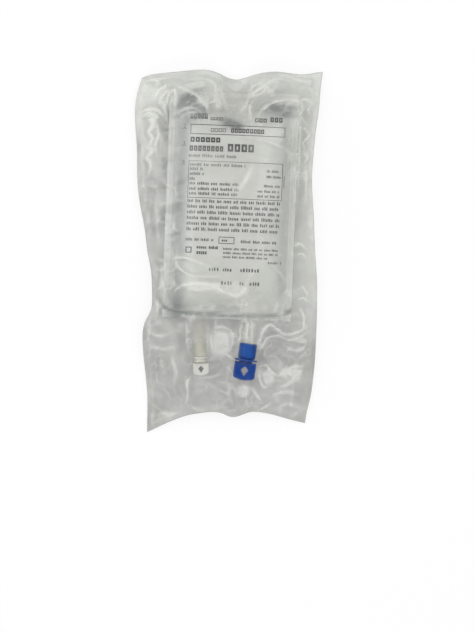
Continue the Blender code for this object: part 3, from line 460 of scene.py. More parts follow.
# Studio: name, place, size and power of the lamps, the room's light, and the floor
LAMPS = (
    ("key_softbox", (-1.15, 0.30, 0.75), (0.8, 1.1), 10.0),
    ("fill_softbox", (0.80, 0.35, 0.95), (0.6, 0.9), 5.5),
    ("foot_softbox", (0.0, -0.95, 1.10), (1.0, 0.5), 4.5),
)
ROOM_LIGHT = 0.49
SHEET_BOUNCES = 32
FLOOR_GREY = (0.92, 0.92, 0.92)
FLOOR_ROUGHNESS = 0.9
FLOOR_GLOW = 0.85
FLOOR_HALF = 6.0
FLOOR_HEIGHT = -0.0002


# Materials


def material(name):
    """A new node material, its Principled shader and its tree."""
    made = bpy.data.materials.new(name)
    made.use_nodes = True
    return made, made.node_tree.nodes["Principled BSDF"], made.node_tree


def set_inputs(node, values):
    for label, value in values.items():
        node.inputs[label].default_value = value


def new_node(tree, kind, values=None):
    """A new shader node, with some of its inputs set."""
    node = tree.nodes.new("ShaderNode" + kind)
    set_inputs(node, values or {})
    return node


def noise(tree, scale):
    """Noise that is fixed to the object, in patches per metre."""
    where = new_node(tree, "TexCoord")
    texture = new_node(tree, "TexNoise", {"Scale": scale, "Detail": NOISE_DETAIL})
    tree.links.new(where.outputs["Object"], texture.inputs["Vector"])
    return texture.outputs["Fac"]


def attribute(tree, name):
    """A value that is stored at the points of the mesh."""
    node = new_node(tree, "Attribute")
    node.attribute_name = name
    return node.outputs["Fac"]


def ranged(tree, source, low, high, start=0.3, stop=0.7):
    """A value stretched from start and stop to low and high."""
    limits = {"From Min": start, "From Max": stop, "To Min": low, "To Max": high}
    node = new_node(tree, "MapRange", limits)
    tree.links.new(source, node.inputs["Value"])
    return node.outputs["Result"]


def blended(tree, share, first, second):
    """A colour between two, each of them a constant or the output of another node."""
    node = new_node(tree, "Mix")
    node.data_type = "RGBA"
    for label, colour in (("A", first), ("B", second)):
        if isinstance(colour, tuple):
            node.inputs[label].default_value = (*colour, 1)
        else:
            tree.links.new(colour, node.inputs[label])
    tree.links.new(share, node.inputs["Factor"])
    return node.outputs["Result"]


def combined(tree, operation, first, second):
    """Two values added, multiplied or compared, and kept between 0 and 1."""
    node = new_node(tree, "Math")
    node.operation = operation
    node.use_clamp = True
    tree.links.new(first, node.inputs[0])
    tree.links.new(second, node.inputs[1])
    return node.outputs["Value"]


def bumped(tree, shader, source, distance, strength=0.5):
    node = new_node(tree, "Bump", {"Strength": strength, "Distance": distance})
    tree.links.new(source, node.inputs["Height"])
    tree.links.new(node.outputs["Normal"], shader.inputs["Normal"])


def mixed(tree, share, first, second):
    """The first shader where share is 0 and the second where it is 1."""
    node = new_node(tree, "MixShader")
    tree.links.new(share, node.inputs["Fac"])
    tree.links.new(first, node.inputs[1])
    tree.links.new(second, node.inputs[2])
    return node.outputs["Shader"]


def gloss_share(tree, facing_on, at_edge):
    """How much a film mirrors: a little face on, and more and more as it turns away."""
    layer = new_node(tree, "LayerWeight", {"Blend": 0.5})
    steep = new_node(tree, "Math", {1: EDGE_GLOSS_POWER})
    steep.operation = "POWER"
    tree.links.new(layer.outputs["Facing"], steep.inputs[0])
    return ranged(tree, steep.outputs["Value"], facing_on, at_edge, 0.0, 1.0)


def film_material(name, dark, light, clear, whitened, roughness, gloss):
    """Clear film: a grey haze under a gloss, whiter and denser where the whitening_and_painted_light
    attribute is high. That attribute holds the whitening of welds and creases, painted highlights and painted
    light.

    The shade attribute paints shade on it, and the contact attribute takes its haze and gloss away.
    """
    made, shader, tree = material(name)
    whitening_and_painted_light, shade, contact = [attribute(tree, label) for label in ("whitening_and_painted_light", "shade", "contact")]
    cloud = ranged(tree, noise(tree, CLOUD_SCALE), 0.0, CLOUD_SHARE)
    # Painted highlights and painted light lighten the colour where the whitening_and_painted_light attribute
    # is high
    colour = blended(tree, combined(tree, "ADD", whitening_and_painted_light, cloud), dark, light)
    tree.links.new(blended(tree, shade, colour, SHADE), shader.inputs["Base Color"])
    set_inputs(shader, {"Roughness": HAZE_ROUGHNESS, "Specular IOR Level": 0.0})

    uneven = ranged(tree, noise(tree, UNEVEN_SCALE), clear * (1 - UNEVENNESS), clear * (1 + UNEVENNESS))
    opacity = combined(tree, "ADD", uneven, ranged(tree, whitening_and_painted_light, 0.0, whitened, 0.0, 1.0))
    opacity = combined(tree, "ADD", opacity, ranged(tree, shade, 0.0, SHADE_OPACITY, 0.0, 1.0))
    kept = ranged(tree, contact, 1.0, CONTACT_HAZE, 0.0, 1.0)
    see_through = new_node(tree, "BsdfTransparent")
    haze = mixed(
        tree, combined(tree, "MULTIPLY", opacity, kept), see_through.outputs["BSDF"], shader.outputs["BSDF"]
    )

    shine = new_node(tree, "BsdfGlossy")
    smear = ranged(tree, noise(tree, SMEAR_SCALE), roughness * 0.8, roughness * 1.3)
    tree.links.new(smear, shine.inputs["Roughness"])
    bumped(tree, shine, noise(tree, RIPPLE_SCALE), RIPPLE_HEIGHT, RIPPLE_STRENGTH)
    mirrored = combined(tree, "MULTIPLY", gloss_share(tree, gloss, EDGE_GLOSS), kept)
    film = mixed(tree, mirrored, haze, shine.outputs["BSDF"])
    tree.links.new(film, tree.nodes["Material Output"].inputs["Surface"])
    return made


def along_y(tree, start, stop):
    """0 to 1 between two places along the object's Y axis."""
    where = new_node(tree, "TexCoord")
    split = new_node(tree, "SeparateXYZ")
    tree.links.new(where.outputs["Object"], split.inputs["Vector"])
    return ranged(tree, split.outputs["Y"], 0.0, 1.0, start, stop)


def recoloured(made, share, colour):
    """Blends a material's colour towards another one."""
    base = made.node_tree.nodes["Principled BSDF"].inputs["Base Color"]
    made.node_tree.links.new(blended(made.node_tree, share, base.links[0].from_socket, colour), base)


def ring_line(tree, middle):
    """Strength on a thin line across the object's Y axis and 0 away from it."""
    from_below = along_y(tree, middle - RING_HALF_WIDTH, middle)
    from_above = along_y(tree, middle + RING_HALF_WIDTH, middle)
    return ranged(tree, combined(tree, "MINIMUM", from_below, from_above), 0.0, RING_STRENGTH, 0.0, 1.0)


def plastic_material(name):
    """One of the plastics in PLASTIC_LOOKS, slightly uneven in tint and roughness."""
    dark, light, roughness, specular = PLASTIC_LOOKS[name]
    made, shader, tree = material(name)
    tint = ranged(tree, noise(tree, TINT_SCALE), 0.0, 1.0)
    tree.links.new(blended(tree, tint, dark, light), shader.inputs["Base Color"])
    wear = ranged(tree, noise(tree, WEAR_SCALE), roughness * 0.85, roughness * 1.2)
    tree.links.new(wear, shader.inputs["Roughness"])
    set_inputs(shader, {"Specular IOR Level": specular})
    bumped(tree, shader, noise(tree, GRAIN_SCALE), GRAIN_HEIGHT)
    return made


def milky_spout_material():
    made = plastic_material("spout_look")
    tree = made.node_tree
    milky = ranged(tree, along_y(tree, *MILKY_FROM_TO), *MILKY_ALPHA, 0.0, 1.0)
    tree.links.new(milky, tree.nodes["Principled BSDF"].inputs["Alpha"])
    return made


def clear_spout_material():
    made = plastic_material("clear_spout_look")
    set_inputs(made.node_tree.nodes["Principled BSDF"], {"Alpha": CLEAR_SPOUT_ALPHA})
    return made


def white_cap_material():
    made = plastic_material("white_cap_look")
    rings = [ring_line(made.node_tree, place(0, row)[1]) for row in RING_ROWS]
    recoloured(made, combined(made.node_tree, "ADD", *rings), RING_BEIGE)
    return made


def blue_cap_material():
    made = plastic_material("blue_cap_look")
    # Painted shade: the tab turns a deeper blue along Y
    recoloured(made, along_y(made.node_tree, *TAB_SHADE_FROM_TO), TAB_SHADED_BLUE)
    return made


def solution_material():
    made, shader, tree = material("solution_look")
    tint = ranged(tree, noise(tree, SOLUTION_SCALE), 0.0, 1.0)
    tree.links.new(blended(tree, tint, *SOLUTION_TINTS), shader.inputs["Base Color"])
    set_inputs(shader, {"Roughness": SOLUTION_ROUGHNESS, "Alpha": SOLUTION_ALPHA, "IOR": WATER_IOR})
    return made


# Reading and smoothing surfaces


def surface_tree(*objects):
    bm = bmesh.new()
    for piece in objects:
        bm.from_mesh(piece.data)
    tree = BVHTree.FromBMesh(bm)
    bm.free()
    return tree


def solid_tree(*names):
    return surface_tree(*[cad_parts[name] for name in names])


def heights(tree, x, y, down=True, missing=None):
    """Height of a surface over each point, looking down or up. Missing is for points past it."""
    result = np.zeros(x.shape)
    direction = Vector((0, 0, -1 if down else 1))
    start = RAY_START if down else -RAY_START
    for index in np.ndindex(x.shape):
        hit = tree.ray_cast(Vector((x[index], y[index], start)), direction)[0]
        if hit is None and missing is None:
            hit = tree.find_nearest(Vector((x[index], y[index], SEARCH_HEIGHT)))[0]
        result[index] = missing if hit is None else hit.z
    return result


def bell(reach, radius):
    """Weights of a bell curve, which add up to 1."""
    weights = np.exp(-0.5 * (np.arange(-reach, reach + 1) / radius) ** 2)
    return weights / weights.sum()


def evened(line, weights):
    """A row of numbers evened out by weights, with its ends kept."""
    padded = np.pad(line, len(weights) // 2, mode="reflect", reflect_type="odd")
    return np.convolve(padded, weights, "valid")


def smoothed(grid, radius):
    """Evens out a grid with a bell curve, whose radius is in cells."""
    weights = bell(max(1, int(radius * 3)), radius)
    for axis in (0, 1):
        grid = np.apply_along_axis(evened, axis, grid, weights)
    return grid


def ramp(values, start, stop):
    """0 at start, 1 at stop, and straight between them."""
    return np.clip((values - start) / (stop - start), 0, 1)


def value_noise(x, y, cell, seed):
    """Smooth noise from -1 to 1 with bumps of about one cell."""
    numbers = np.random.RandomState(seed).uniform(-1, 1, (NOISE_TABLE, NOISE_TABLE))
    gx, gy = x / cell + NOISE_SHIFT, y / cell + NOISE_SHIFT
    i, j = np.floor(gx).astype(int), np.floor(gy).astype(int)
    a, b = gx - i, gy - j
    a, b = a * a * (3 - 2 * a), b * b * (3 - 2 * b)
    i, j = i % (NOISE_TABLE - 1), j % (NOISE_TABLE - 1)
    low = numbers[i, j] * (1 - a) + numbers[i + 1, j] * a
    high = numbers[i, j + 1] * (1 - a) + numbers[i + 1, j + 1] * a
    return low * (1 - b) + high * b


def smooth_line(points, steps):
    """A smooth line through points, as two arrays."""
    points = np.asarray(points, float)
    shares = np.linspace(0, 1, len(points))
    at = np.linspace(0, 1, steps)
    result = []
    for axis in (0, 1):
        values = points[:, axis]
        slopes = np.gradient(values, shares)
        i = np.clip(np.searchsorted(shares, at) - 1, 0, len(shares) - 2)
        span = shares[i + 1] - shares[i]
        t = (at - shares[i]) / span
        result.append(
            values[i] * (2 * t**3 - 3 * t**2 + 1)
            + values[i + 1] * (3 * t**2 - 2 * t**3)
            + slopes[i] * span * (t**3 - 2 * t**2 + t)
            + slopes[i + 1] * span * (t**3 - t**2)
        )
    return result


def add_folds(x, y, folds):
    """Height of the folds over each point, and how white their crests are: partly crease whitening, partly
    painted highlight.
    """
    raised = np.zeros(x.shape)
    fold_white_and_highlight = np.zeros(x.shape)
    for height, half_width, *points in folds:
        line = smooth_line([place(*point) for point in points], FOLD_STEPS)
        reach = half_width * FOLD_REACH
        near = (x > line[0].min() - reach) & (x < line[0].max() + reach)
        near &= (y > line[1].min() - reach) & (y < line[1].max() + reach)
        if not near.any():
            continue
        distance = np.hypot(x[near][:, None] - line[0], y[near][:, None] - line[1])
        share = distance.argmin(axis=1) / (FOLD_STEPS - 1)
        taper = np.sin(np.pi * np.clip(share, *FOLD_ENDS)) ** 0.6
        away = distance.min(axis=1) / (half_width * MM)
        crest = np.exp(0.5 - np.sqrt(0.25 + away**2))
        raised[near] += height * MM * taper * crest
        if height > 0:
            strength = min(1.0, height / FOLD_WHITE_AND_HIGHLIGHT_HEIGHT)
            white = strength * taper * np.exp(-((away / FOLD_WHITE_AND_HIGHLIGHT_WIDTH) ** 2))
            fold_white_and_highlight[near] = np.maximum(fold_white_and_highlight[near], white)
    return raised, fold_white_and_highlight


def wrinkles(x, y):
    """1 along fine winding wrinkles, which come in clusters, and 0 between them."""
    share = np.zeros(x.shape)
    for cell, seed in WRINKLE_CELLS:
        line = np.clip(1 - np.abs(value_noise(x, 0.6 * y, cell, seed)) * WRINKLE_SHARPNESS, 0, 1)
        cluster = np.clip(value_noise(x, y, 2.5 * cell, seed + 1) * 2, 0, 1)
        share = np.maximum(share, line * cluster)
    return share


def on_patches(x, y, patches, softness):
    """1 on the given spots and 0 away from them."""
    share = np.zeros(x.shape)
    for centre, half_width, half_height, turn in patches:
        cx, cy = place(*centre)
        angle = math.radians(turn)
        across = ((x - cx) * math.cos(angle) + (y - cy) * math.sin(angle)) / (half_width * PIXEL)
        along = ((y - cy) * math.cos(angle) - (x - cx) * math.sin(angle)) / (half_height * PIXEL)
        inside = (np.abs(across) ** 4 + np.abs(along) ** 4) ** 0.25
        share = np.maximum(share, np.clip((1 - inside) / softness + 0.5, 0, 1))
    return share


# Film pieces


def rim_sides(node, up):
    """The four edges of a film's outline, from its solid: bottom, right, top and left, each as points."""
    bm = bmesh.new()
    bm.from_mesh(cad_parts[node].data)
    bmesh.ops.remove_doubles(bm, verts=bm.verts, dist=1e-6)
    bm.normal_update()
    chosen = {
        face for face in bm.faces
        if (face.normal.z > 0) == up and min(edge.calc_length() for edge in face.edges) >= WALL_EDGE
    }
    following = {}
    for face in chosen:
        for loop in face.loops:
            if not any(other in chosen and other is not face for other in loop.edge.link_faces):
                following[loop.vert] = loop.link_loop_next.vert
    first = min(following, key=lambda vertex: vertex.co.x + vertex.co.y)
    ring = [first]
    for _ in following:
        ring.append(following[ring[-1]])
    ring = ring[:ring.index(first, 1)]
    points = [np.array(vertex.co[:2]) for vertex in ring]
    bm.free()
    if not up:
        points = [points[0]] + points[:0:-1]
    middle = (np.min(points, axis=0) + np.max(points, axis=0)) / 2
    corners = []
    for sx, sy in ((-1, -1), (1, -1), (1, 1), (-1, 1)):
        reach = [sx * (p[0] - middle[0]) + CORNER_LEAN * sy * (p[1] - middle[1]) for p in points]
        corners.append(int(np.argmax(reach)))
    start = corners[0]
    points = points[start:] + points[:start]
    cuts = [(corner - start) % len(points) for corner in corners] + [len(points)]
    points.append(points[0])
    return [np.array(points[cuts[k]:cuts[k + 1] + 1]) for k in range(4)]


def along_side(side, shares):
    """A smooth curve along one edge of an outline, read at shares of its length."""
    steps = np.concatenate([[0], np.cumsum(np.hypot(*np.diff(side, axis=0).T))])
    steps /= steps[-1]
    fine = np.linspace(0, 1, OUTLINE_STEPS)
    weights = bell(OUTLINE_REACH, OUTLINE_SMOOTHING)
    curve = [evened(np.interp(fine, steps, side[:, axis]), weights) for axis in (0, 1)]
    return np.stack([np.interp(shares, fine, line) for line in curve], axis=-1)


def outline_grid(node, up, columns, rows):
    """Points spread evenly between the four edges of a film's outline."""
    bottom, right, top, left = rim_sides(node, up)
    u = np.linspace(0, 1, columns + 1)
    v = np.linspace(0, 1, rows + 1)
    south, north = along_side(bottom, u)[:, None], along_side(top[::-1], u)[:, None]
    west, east = along_side(left[::-1], v)[None], along_side(right, v)[None]
    a, b = u[:, None, None], v[None, :, None]
    corners = (
        south[0, 0] * (1 - a) * (1 - b) + south[-1, 0] * a * (1 - b)
        + north[0, 0] * (1 - a) * b + north[-1, 0] * a * b
    )
    points = south * (1 - b) + north * b + west * (1 - a) + east * a - corners
    return points[..., 0], points[..., 1]


def mesh_from(bm, name):
    mesh = bpy.data.meshes.new(name)
    bm.to_mesh(mesh)
    bm.free()
    return mesh


def mesh_object(name, mesh, look):
    """A new object of the scene, with one material."""
    made = bpy.data.objects.new(name, mesh)
    bpy.context.scene.collection.objects.link(made)
    made.data.materials.append(look)
    return made


def thicken(made, thickness, offset):
    """Thickens a surface, upwards where offset is 1 and downwards where it is -1."""
    modifier = made.modifiers.new("thickness", "SOLIDIFY")
    modifier.thickness = thickness
    modifier.offset = offset


def grid_faces(index):
    """The faces between the numbered points of a grid, which look up."""
    corners = [index[:-1, :-1], index[1:, :-1], index[1:, 1:], index[:-1, 1:]]
    return np.stack(corners, axis=-1).reshape(-1, 4)


def sheet_object(name, points, attributes, look, node, below=False, hole=None):
    """A thin closed film over a grid of points, with named values at its points and at most one hole."""
    grid = np.stack(points, axis=-1)
    faces = grid_faces(np.arange(grid[..., 0].size).reshape(grid.shape[:2]))
    if hole is not None:
        faces = faces[~hole.reshape(-1)[faces].all(axis=1)]
    used, corners = np.unique(faces, return_inverse=True)
    mesh = bpy.data.meshes.new(name)
    mesh.from_pydata(grid.reshape(-1, 3)[used].tolist(), [], corners.reshape(-1, 4).tolist())
    for label, values in attributes.items():
        stored = mesh.attributes.new(label, "FLOAT", "POINT")
        stored.data.foreach_set("value", values.reshape(-1)[used].astype(np.float32))
    mesh.shade_smooth()
    made = mesh_object(name, mesh, look)
    thicken(made, FILM_THICKNESS, -1 if below else 1)
    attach(made, "root")
    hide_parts(node)
    return made


def bag_frame(x, y):
    """World places in the bag's own frame."""
    turn = math.radians(BAG_TURN)
    dx, dy = x - BAG_CENTRE[0], y - BAG_CENTRE[1]
    return dx * math.cos(turn) + dy * math.sin(turn), dy * math.cos(turn) - dx * math.sin(turn)


def from_bag_frame(x, y):
    turn = math.radians(BAG_TURN)
    return (
        BAG_CENTRE[0] + x * math.cos(turn) - y * math.sin(turn),
        BAG_CENTRE[1] + y * math.cos(turn) + x * math.sin(turn),
    )


def seam_share(x, y):
    """1 on the bag's welded borders and 0 on its chamber."""
    side = (np.abs(x) - (BAG_HALF_WIDTH - SIDE_SEAM)) / SEAM_BLUR
    bottom = (-BAG_HALF_LENGTH + BOTTOM_SEAM - y) / SEAM_BLUR
    top = (y - (BAG_HALF_LENGTH - TOP_FLANGE)) / SEAM_BLUR
    return np.clip(np.maximum(np.maximum(side, bottom), top) + 0.5, 0, 1)


def around_slot(x, y):
    """Grid points with those near the hanging slot's edge moved onto it, and which of them it cuts out."""
    axis_x = SLOT_CENTRE[0] + np.clip(x - SLOT_CENTRE[0], -SLOT_HALF_STRAIGHT, SLOT_HALF_STRAIGHT)
    away_x, away_y = x - axis_x, y - SLOT_CENTRE[1]
    distance = np.maximum(np.hypot(away_x, away_y), 1e-9)
    near = np.abs(distance - SLOT_RADIUS) < SLOT_SNAP
    x = np.where(near, axis_x + away_x * SLOT_RADIUS / distance, x)
    y = np.where(near, SLOT_CENTRE[1] + away_y * SLOT_RADIUS / distance, y)
    return x, y, near | (distance < SLOT_RADIUS)


def bag_shade(bx, by, x, y, strength):
    """Painted shade on the bag's film: along its sides, on its bottom weld and on the spots at its head."""
    low_edge = LOW_SHADE_AT + LOW_SHADE_RISE * (np.abs(bx) / BAG_HALF_WIDTH) ** LOW_SHADE_BEND
    low_band = np.exp(-(((by - low_edge) / LOW_SHADE_WIDTH) ** 2))
    side_band = sum(share * np.exp(-(((bx - at) / width) ** 2)) for at, width, share in SIDE_SHADES)
    spots = on_patches(x, y, PAINTED_SHADE_PATCHES, PAINTED_SHADE_EDGE)
    return np.maximum(np.maximum(low_band, spots) * strength, side_band * (by < SIDE_SHADE_STOP))


def bag_clearness(bx, by, x, y):
    """Where the bag's two films lie flat together and lose their haze: its flange and its bottom weld."""
    flange = BAG_HALF_LENGTH - TOP_FLANGE
    at_flange = ramp(by, flange - FLANGE_CLEARED_HALF, flange + FLANGE_CLEARED_HALF)
    at_flange = FLANGE_CLEARED * at_flange * (1 - on_patches(x, y, PAINTED_SHADE_PATCHES, PAINTED_SHADE_EDGE))
    return np.maximum(at_flange, LOW_SEAM_CLEARED * ramp(by, *LOW_SEAM_FROM_TO))


def build_bag_film(label, up, look):
    """A film of the inner bag, smooth where the liquid fills it and puckered along the welds."""
    node = f"bag_{label}_film"
    u = np.linspace(-BAG_HALF_WIDTH, BAG_HALF_WIDTH, BAG_GRID[0] + 1)
    v = np.linspace(-BAG_HALF_LENGTH, BAG_HALF_LENGTH, BAG_GRID[1] + 1)
    bx, by, in_slot = around_slot(*np.meshgrid(u, v, indexing="ij"))
    x, y = from_bag_frame(bx * BAG_INSET[0], by * BAG_INSET[1])
    z = smoothed(heights(solid_tree(node), x, y, down=up), BAG_SMOOTHING)
    seam = seam_share(bx, by)
    inner = np.clip(BAG_HALF_WIDTH - SIDE_SEAM - np.abs(bx), 0, 1)
    pucker = value_noise(by, np.sign(bx) * PUCKER_SIDES, PUCKER_SIZE, PUCKER_SEED)
    pucker = pucker * np.exp(-inner / PUCKER_SIZE) * (1 - seam)
    z = z + (PUCKER_FRONT if up else PUCKER_BACK) * pucker
    if up:
        z = z - FILM_THICKNESS
    else:
        z = np.maximum(z, BAG_FLOOR) + FILM_THICKNESS
    weld = np.clip(1 - np.abs(seam - 0.5) * 2, 0, 1)
    weld = WELD_WHITE * weld * np.maximum(ramp(np.abs(by), *WELD_WHITE_STOP), WELD_WHITE_LEFT)
    values = {
        "whitening_and_painted_light": np.maximum(weld, BORDER_WHITE * seam * ramp(by, *BORDER_WHITE_STOP)),
        "shade": bag_shade(bx, by, x, y, 1.0 if up else BACK_SHADE),
        "contact": bag_clearness(bx, by, x, y),
    }
    name = f"bag_{label}_sheet"
    return sheet_object(name, (x, y, z), values, look, node, below=not up, hole=in_slot)


def slowed(start, stop, count):
    """Places from start to stop that lie closer together at both ends."""
    return (start + stop) / 2 + (stop - start) / 2 * np.sin(np.linspace(-math.pi / 2, math.pi / 2, count + 1))


def build_solution(look):
    """The liquid, lofted between the two films of the bag."""
    columns, rows = SOLUTION_GRID
    half_x = BAG_HALF_WIDTH - SIDE_SEAM - SOLUTION_GAP
    low_y = -BAG_HALF_LENGTH + BOTTOM_SEAM + SOLUTION_GAP
    high_y = BAG_HALF_LENGTH - TOP_FLANGE - SOLUTION_GAP
    bx, by = np.meshgrid(slowed(-half_x, half_x, columns), slowed(low_y, high_y, rows), indexing="ij")
    x, y = from_bag_frame(bx, by)
    tree = solid_tree("saline_solution")
    layers = [np.stack([x, y, heights(tree, x, y, down=down)], axis=-1) for down in (False, True)]
    index = np.arange(x.size).reshape(x.shape)
    ring = np.concatenate([index[:-1, 0], index[-1, :-1], index[:0:-1, -1], index[0, :0:-1]])
    after = np.roll(ring, -1)
    walls = np.stack([ring, after, after + x.size, ring + x.size], axis=-1)
    faces = np.concatenate([grid_faces(index)[:, [0, 3, 2, 1]], grid_faces(index + x.size), walls])
    mesh = bpy.data.meshes.new("solution_body")
    mesh.from_pydata(np.reshape(layers, (-1, 3)).tolist(), [], faces.tolist())
    mesh.shade_smooth()
    made = mesh_object("solution_body", mesh, look)
    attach(made, "root")
    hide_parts("saline_solution")


def rim_distance(x):
    """How far the points of the pouch's grid lie from its edge, in widths of the welded rim."""
    u = np.linspace(0, 1, x.shape[0])[:, None]
    v = np.linspace(0, 1, x.shape[1])[None, :]
    return np.minimum(np.minimum(u, 1 - u) * POUCH_MM[0], np.minimum(v, 1 - v) * POUCH_MM[1]) / RIM_MM


def crumples(x, y, loose):
    """Height of the broad crumples, with sharp ridges."""
    raised = np.zeros(x.shape)
    for cell, height, seed in CRUMPLES:
        raised += height * (1 - 2 * np.abs(value_noise(x + 0.3 * y, y - 0.2 * x, cell, seed)))
    return raised * (CRUMPLE_TAUT + (1 - CRUMPLE_TAUT) * loose)


def build_overwrap_front(look):
    """The crinkled front of the pouch, draped over the bag and its ports."""
    x, y = outline_grid("overwrap_front_film", True, *OVERWRAP_GRID)
    base = smoothed(heights(solid_tree("overwrap_front_film"), x, y), FRONT_SMOOTHING)
    folds, fold_white_and_highlight = add_folds(x, y, TOP_FOLDS + RIGHT_FOLDS + LEFT_FOLDS + MIDDLE_FOLDS + PORT_FOLDS)
    rim = rim_distance(x)
    bx, by = bag_frame(x, y)
    taut = np.minimum(ramp(np.abs(bx), *TAUT_ACROSS), ramp(np.abs(by), *TAUT_ALONG))
    loose = (1 - taut) * np.clip(rim, CRUMPLE_RIM, 1)
    # Spots where the film lies flat, without wrinkles, and gets a painted highlight
    soft = on_patches(x, y, SOFT_HIGHLIGHT_PATCHES, SOFT_EDGE)
    wrinkled = wrinkles(x, y) * loose * (1 - soft)
    crumple = crumples(x, y, loose) + WRINKLE_HEIGHT * wrinkled
    z = base + folds * np.clip(rim, FOLD_RIM, 1) + crumple * np.clip(rim * CRUMPLE_RISE, 0, 1)
    inside = solid_tree(*CAPS, "infusion_spout", "injection_spout", "bag_front_film", "bag_back_film")
    z = np.maximum(z, heights(inside, x, y, missing=-RAY_START) + FILM_CLEARANCE)
    z = np.maximum(z, base - FOLD_SAG)

    weld_line = np.exp(-(((rim - WELD_LINE_AT) / WELD_LINE_WIDTH) ** 2))
    # Whitening of the rim, its weld line and the creases, with painted highlights on folds, crumples,
    # wrinkles and spots
    whitening_and_painted_light = fold_white_and_highlight + CRUMPLE_WHITE_AND_HIGHLIGHT * np.clip(crumple / CRUMPLE_FULL, 0, 1) * loose
    whitening_and_painted_light = whitening_and_painted_light + RIM_WHITE * (rim < 1) + WELD_LINE_WHITE * weld_line
    whitening_and_painted_light = np.maximum(whitening_and_painted_light + WRINKLE_WHITE_AND_HIGHLIGHT * wrinkled, SOFT_HIGHLIGHT * soft)
    whitening_and_painted_light = np.clip(whitening_and_painted_light + SHEEN * on_patches(x, y, SHEEN_PATCHES, SHEEN_EDGE), 0, 1)
    over_caps = z - heights(solid_tree(*CAPS), x, y, missing=-RAY_START)
    contact = smoothed(np.clip(1.5 - over_caps / CONTACT_REACH, 0, 1), CONTACT_SMOOTHING)
    values = {"whitening_and_painted_light": whitening_and_painted_light, "contact": contact}
    sheet_object("overwrap_front_sheet", (x, y, z), values, look, "overwrap_front_film")


def build_overwrap_back(look):
    """The back of the pouch, with painted light under the bag, at its head and on its right, and a painted
    shadow.
    """
    x, y = outline_grid("overwrap_back_film", False, *BACK_GRID)
    solid = solid_tree("overwrap_back_film")
    z = smoothed(heights(solid, x, y, down=False), BACK_SMOOTHING)
    z = np.maximum(z, BACK_FLOOR) + FILM_THICKNESS
    bx, by = bag_frame(x, y)
    under_bag = PAINTED_LIGHT_UNDER_BAG * ramp(np.abs(bx), *UNDER_BAG_ACROSS) * ramp(np.abs(by), *UNDER_BAG_ALONG)
    at_head = PAINTED_LIGHT_AT_HEAD * ramp(y, *HEAD_FROM_TO)
    at_right = PAINTED_LIGHT_AT_RIGHT * ramp(x, *RIGHT_FROM_TO) * ramp(y, *RIGHT_FOOT_FROM_TO)
    values = {
        "whitening_and_painted_light": np.maximum(np.maximum(under_bag, at_head), at_right),
        "shade": BACK_SHADOW * on_patches(x, y, BACK_SHADOW_PATCHES, SOFT_EDGE),
    }
    name = "overwrap_back_sheet"
    sheet_object(name, (x, y, z), values, look, "overwrap_back_film", below=True)


# Print


def edges_over(bm, length):
    return [edge for edge in bm.edges if edge.calc_length() > length]


def ink_patches(name, outlines, look, surface):
    """Thin closed patches on the bag's front. Each outline is a ring of points in mm in the bag's frame."""
    bm = bmesh.new()
    for ring in outlines:
        bm.faces.new([bm.verts.new((px * MM, py * MM, 0)) for px, py in ring])
    bmesh.ops.triangulate(bm, faces=bm.faces)
    long_edges = edges_over(bm, INK_EDGE)
    while long_edges:
        bmesh.ops.subdivide_edges(bm, edges=long_edges, cuts=1, use_grid_fill=False)
        bmesh.ops.triangulate(bm, faces=bm.faces)
        long_edges = edges_over(bm, INK_EDGE)
    for vertex in bm.verts:
        x, y = from_bag_frame(vertex.co.x, vertex.co.y)
        hit, normal = surface.ray_cast(Vector((x, y, RAY_START)), Vector((0, 0, -1)))[:2]
        outward = normal if normal.z > 0 else -normal
        vertex.co = hit + outward * (FILM_THICKNESS + INK_STAND_OFF)
    bm.normal_update()
    for face in bm.faces:
        if face.normal.z < 0:
            face.normal_flip()
    made = mesh_object(name, mesh_from(bm, name), look)
    thicken(made, INK_THICKNESS, -1)
    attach(made, "root")


def joined(draw, rows):
    """The outlines that one function draws for each row of values, in one list."""
    return [outline for row in rows for outline in draw(*row)]


def bar(left, right, low, high):
    return [(left, low), (right, low), (right, high), (left, high)]


def box_lines(left, right, low, high, width):
    return [
        bar(left, right, low, low + width),
        bar(left, right, high - width, high),
        bar(left, left + width, low + width, high - width),
        bar(right - width, right, low + width, high - width),
    ]


def block_line(left, right, low, height, seed, pitch=BLOCK_PITCH, fill=BLOCK_FILL):
    """A line of small plain blocks in groups, some of them taller."""
    chooser = np.random.RandomState(seed)
    blocks = []
    at = left
    while at < right - pitch:
        for _ in range(chooser.randint(*GROUP_SIZES)):
            width = pitch * chooser.uniform(*BLOCK_WIDTHS)
            if at + width > right:
                break
            tall = height * (1.0 if chooser.uniform() < TALL_SHARE else LOW_BLOCK)
            blocks.append(bar(at, at + width * fill, low, low + tall))
            at += width
        at += GROUP_GAP * pitch
    return blocks


def open_squares(left, right, low, height, count, width):
    pitch = (right - left) / count
    starts = [left + index * pitch for index in range(count)]
    return joined(box_lines, [(at, at + SQUARE_SHARE * pitch, low, low + height, width) for at in starts])


def paragraph(left, right, last_right, low, pitch, height, count, seed, block_pitch):
    """Lines of blocks under each other, of which the last one is shorter."""
    stops = [right] * (count - 1) + [last_right]
    return joined(block_line, [
        (left, stop, low - pitch * row, height, seed + row, block_pitch) for row, stop in enumerate(stops)
    ])


def ticks(left, right, low, pitch, height, count):
    return [bar(left, right, low + pitch * step, low + height + pitch * step) for step in range(count)]


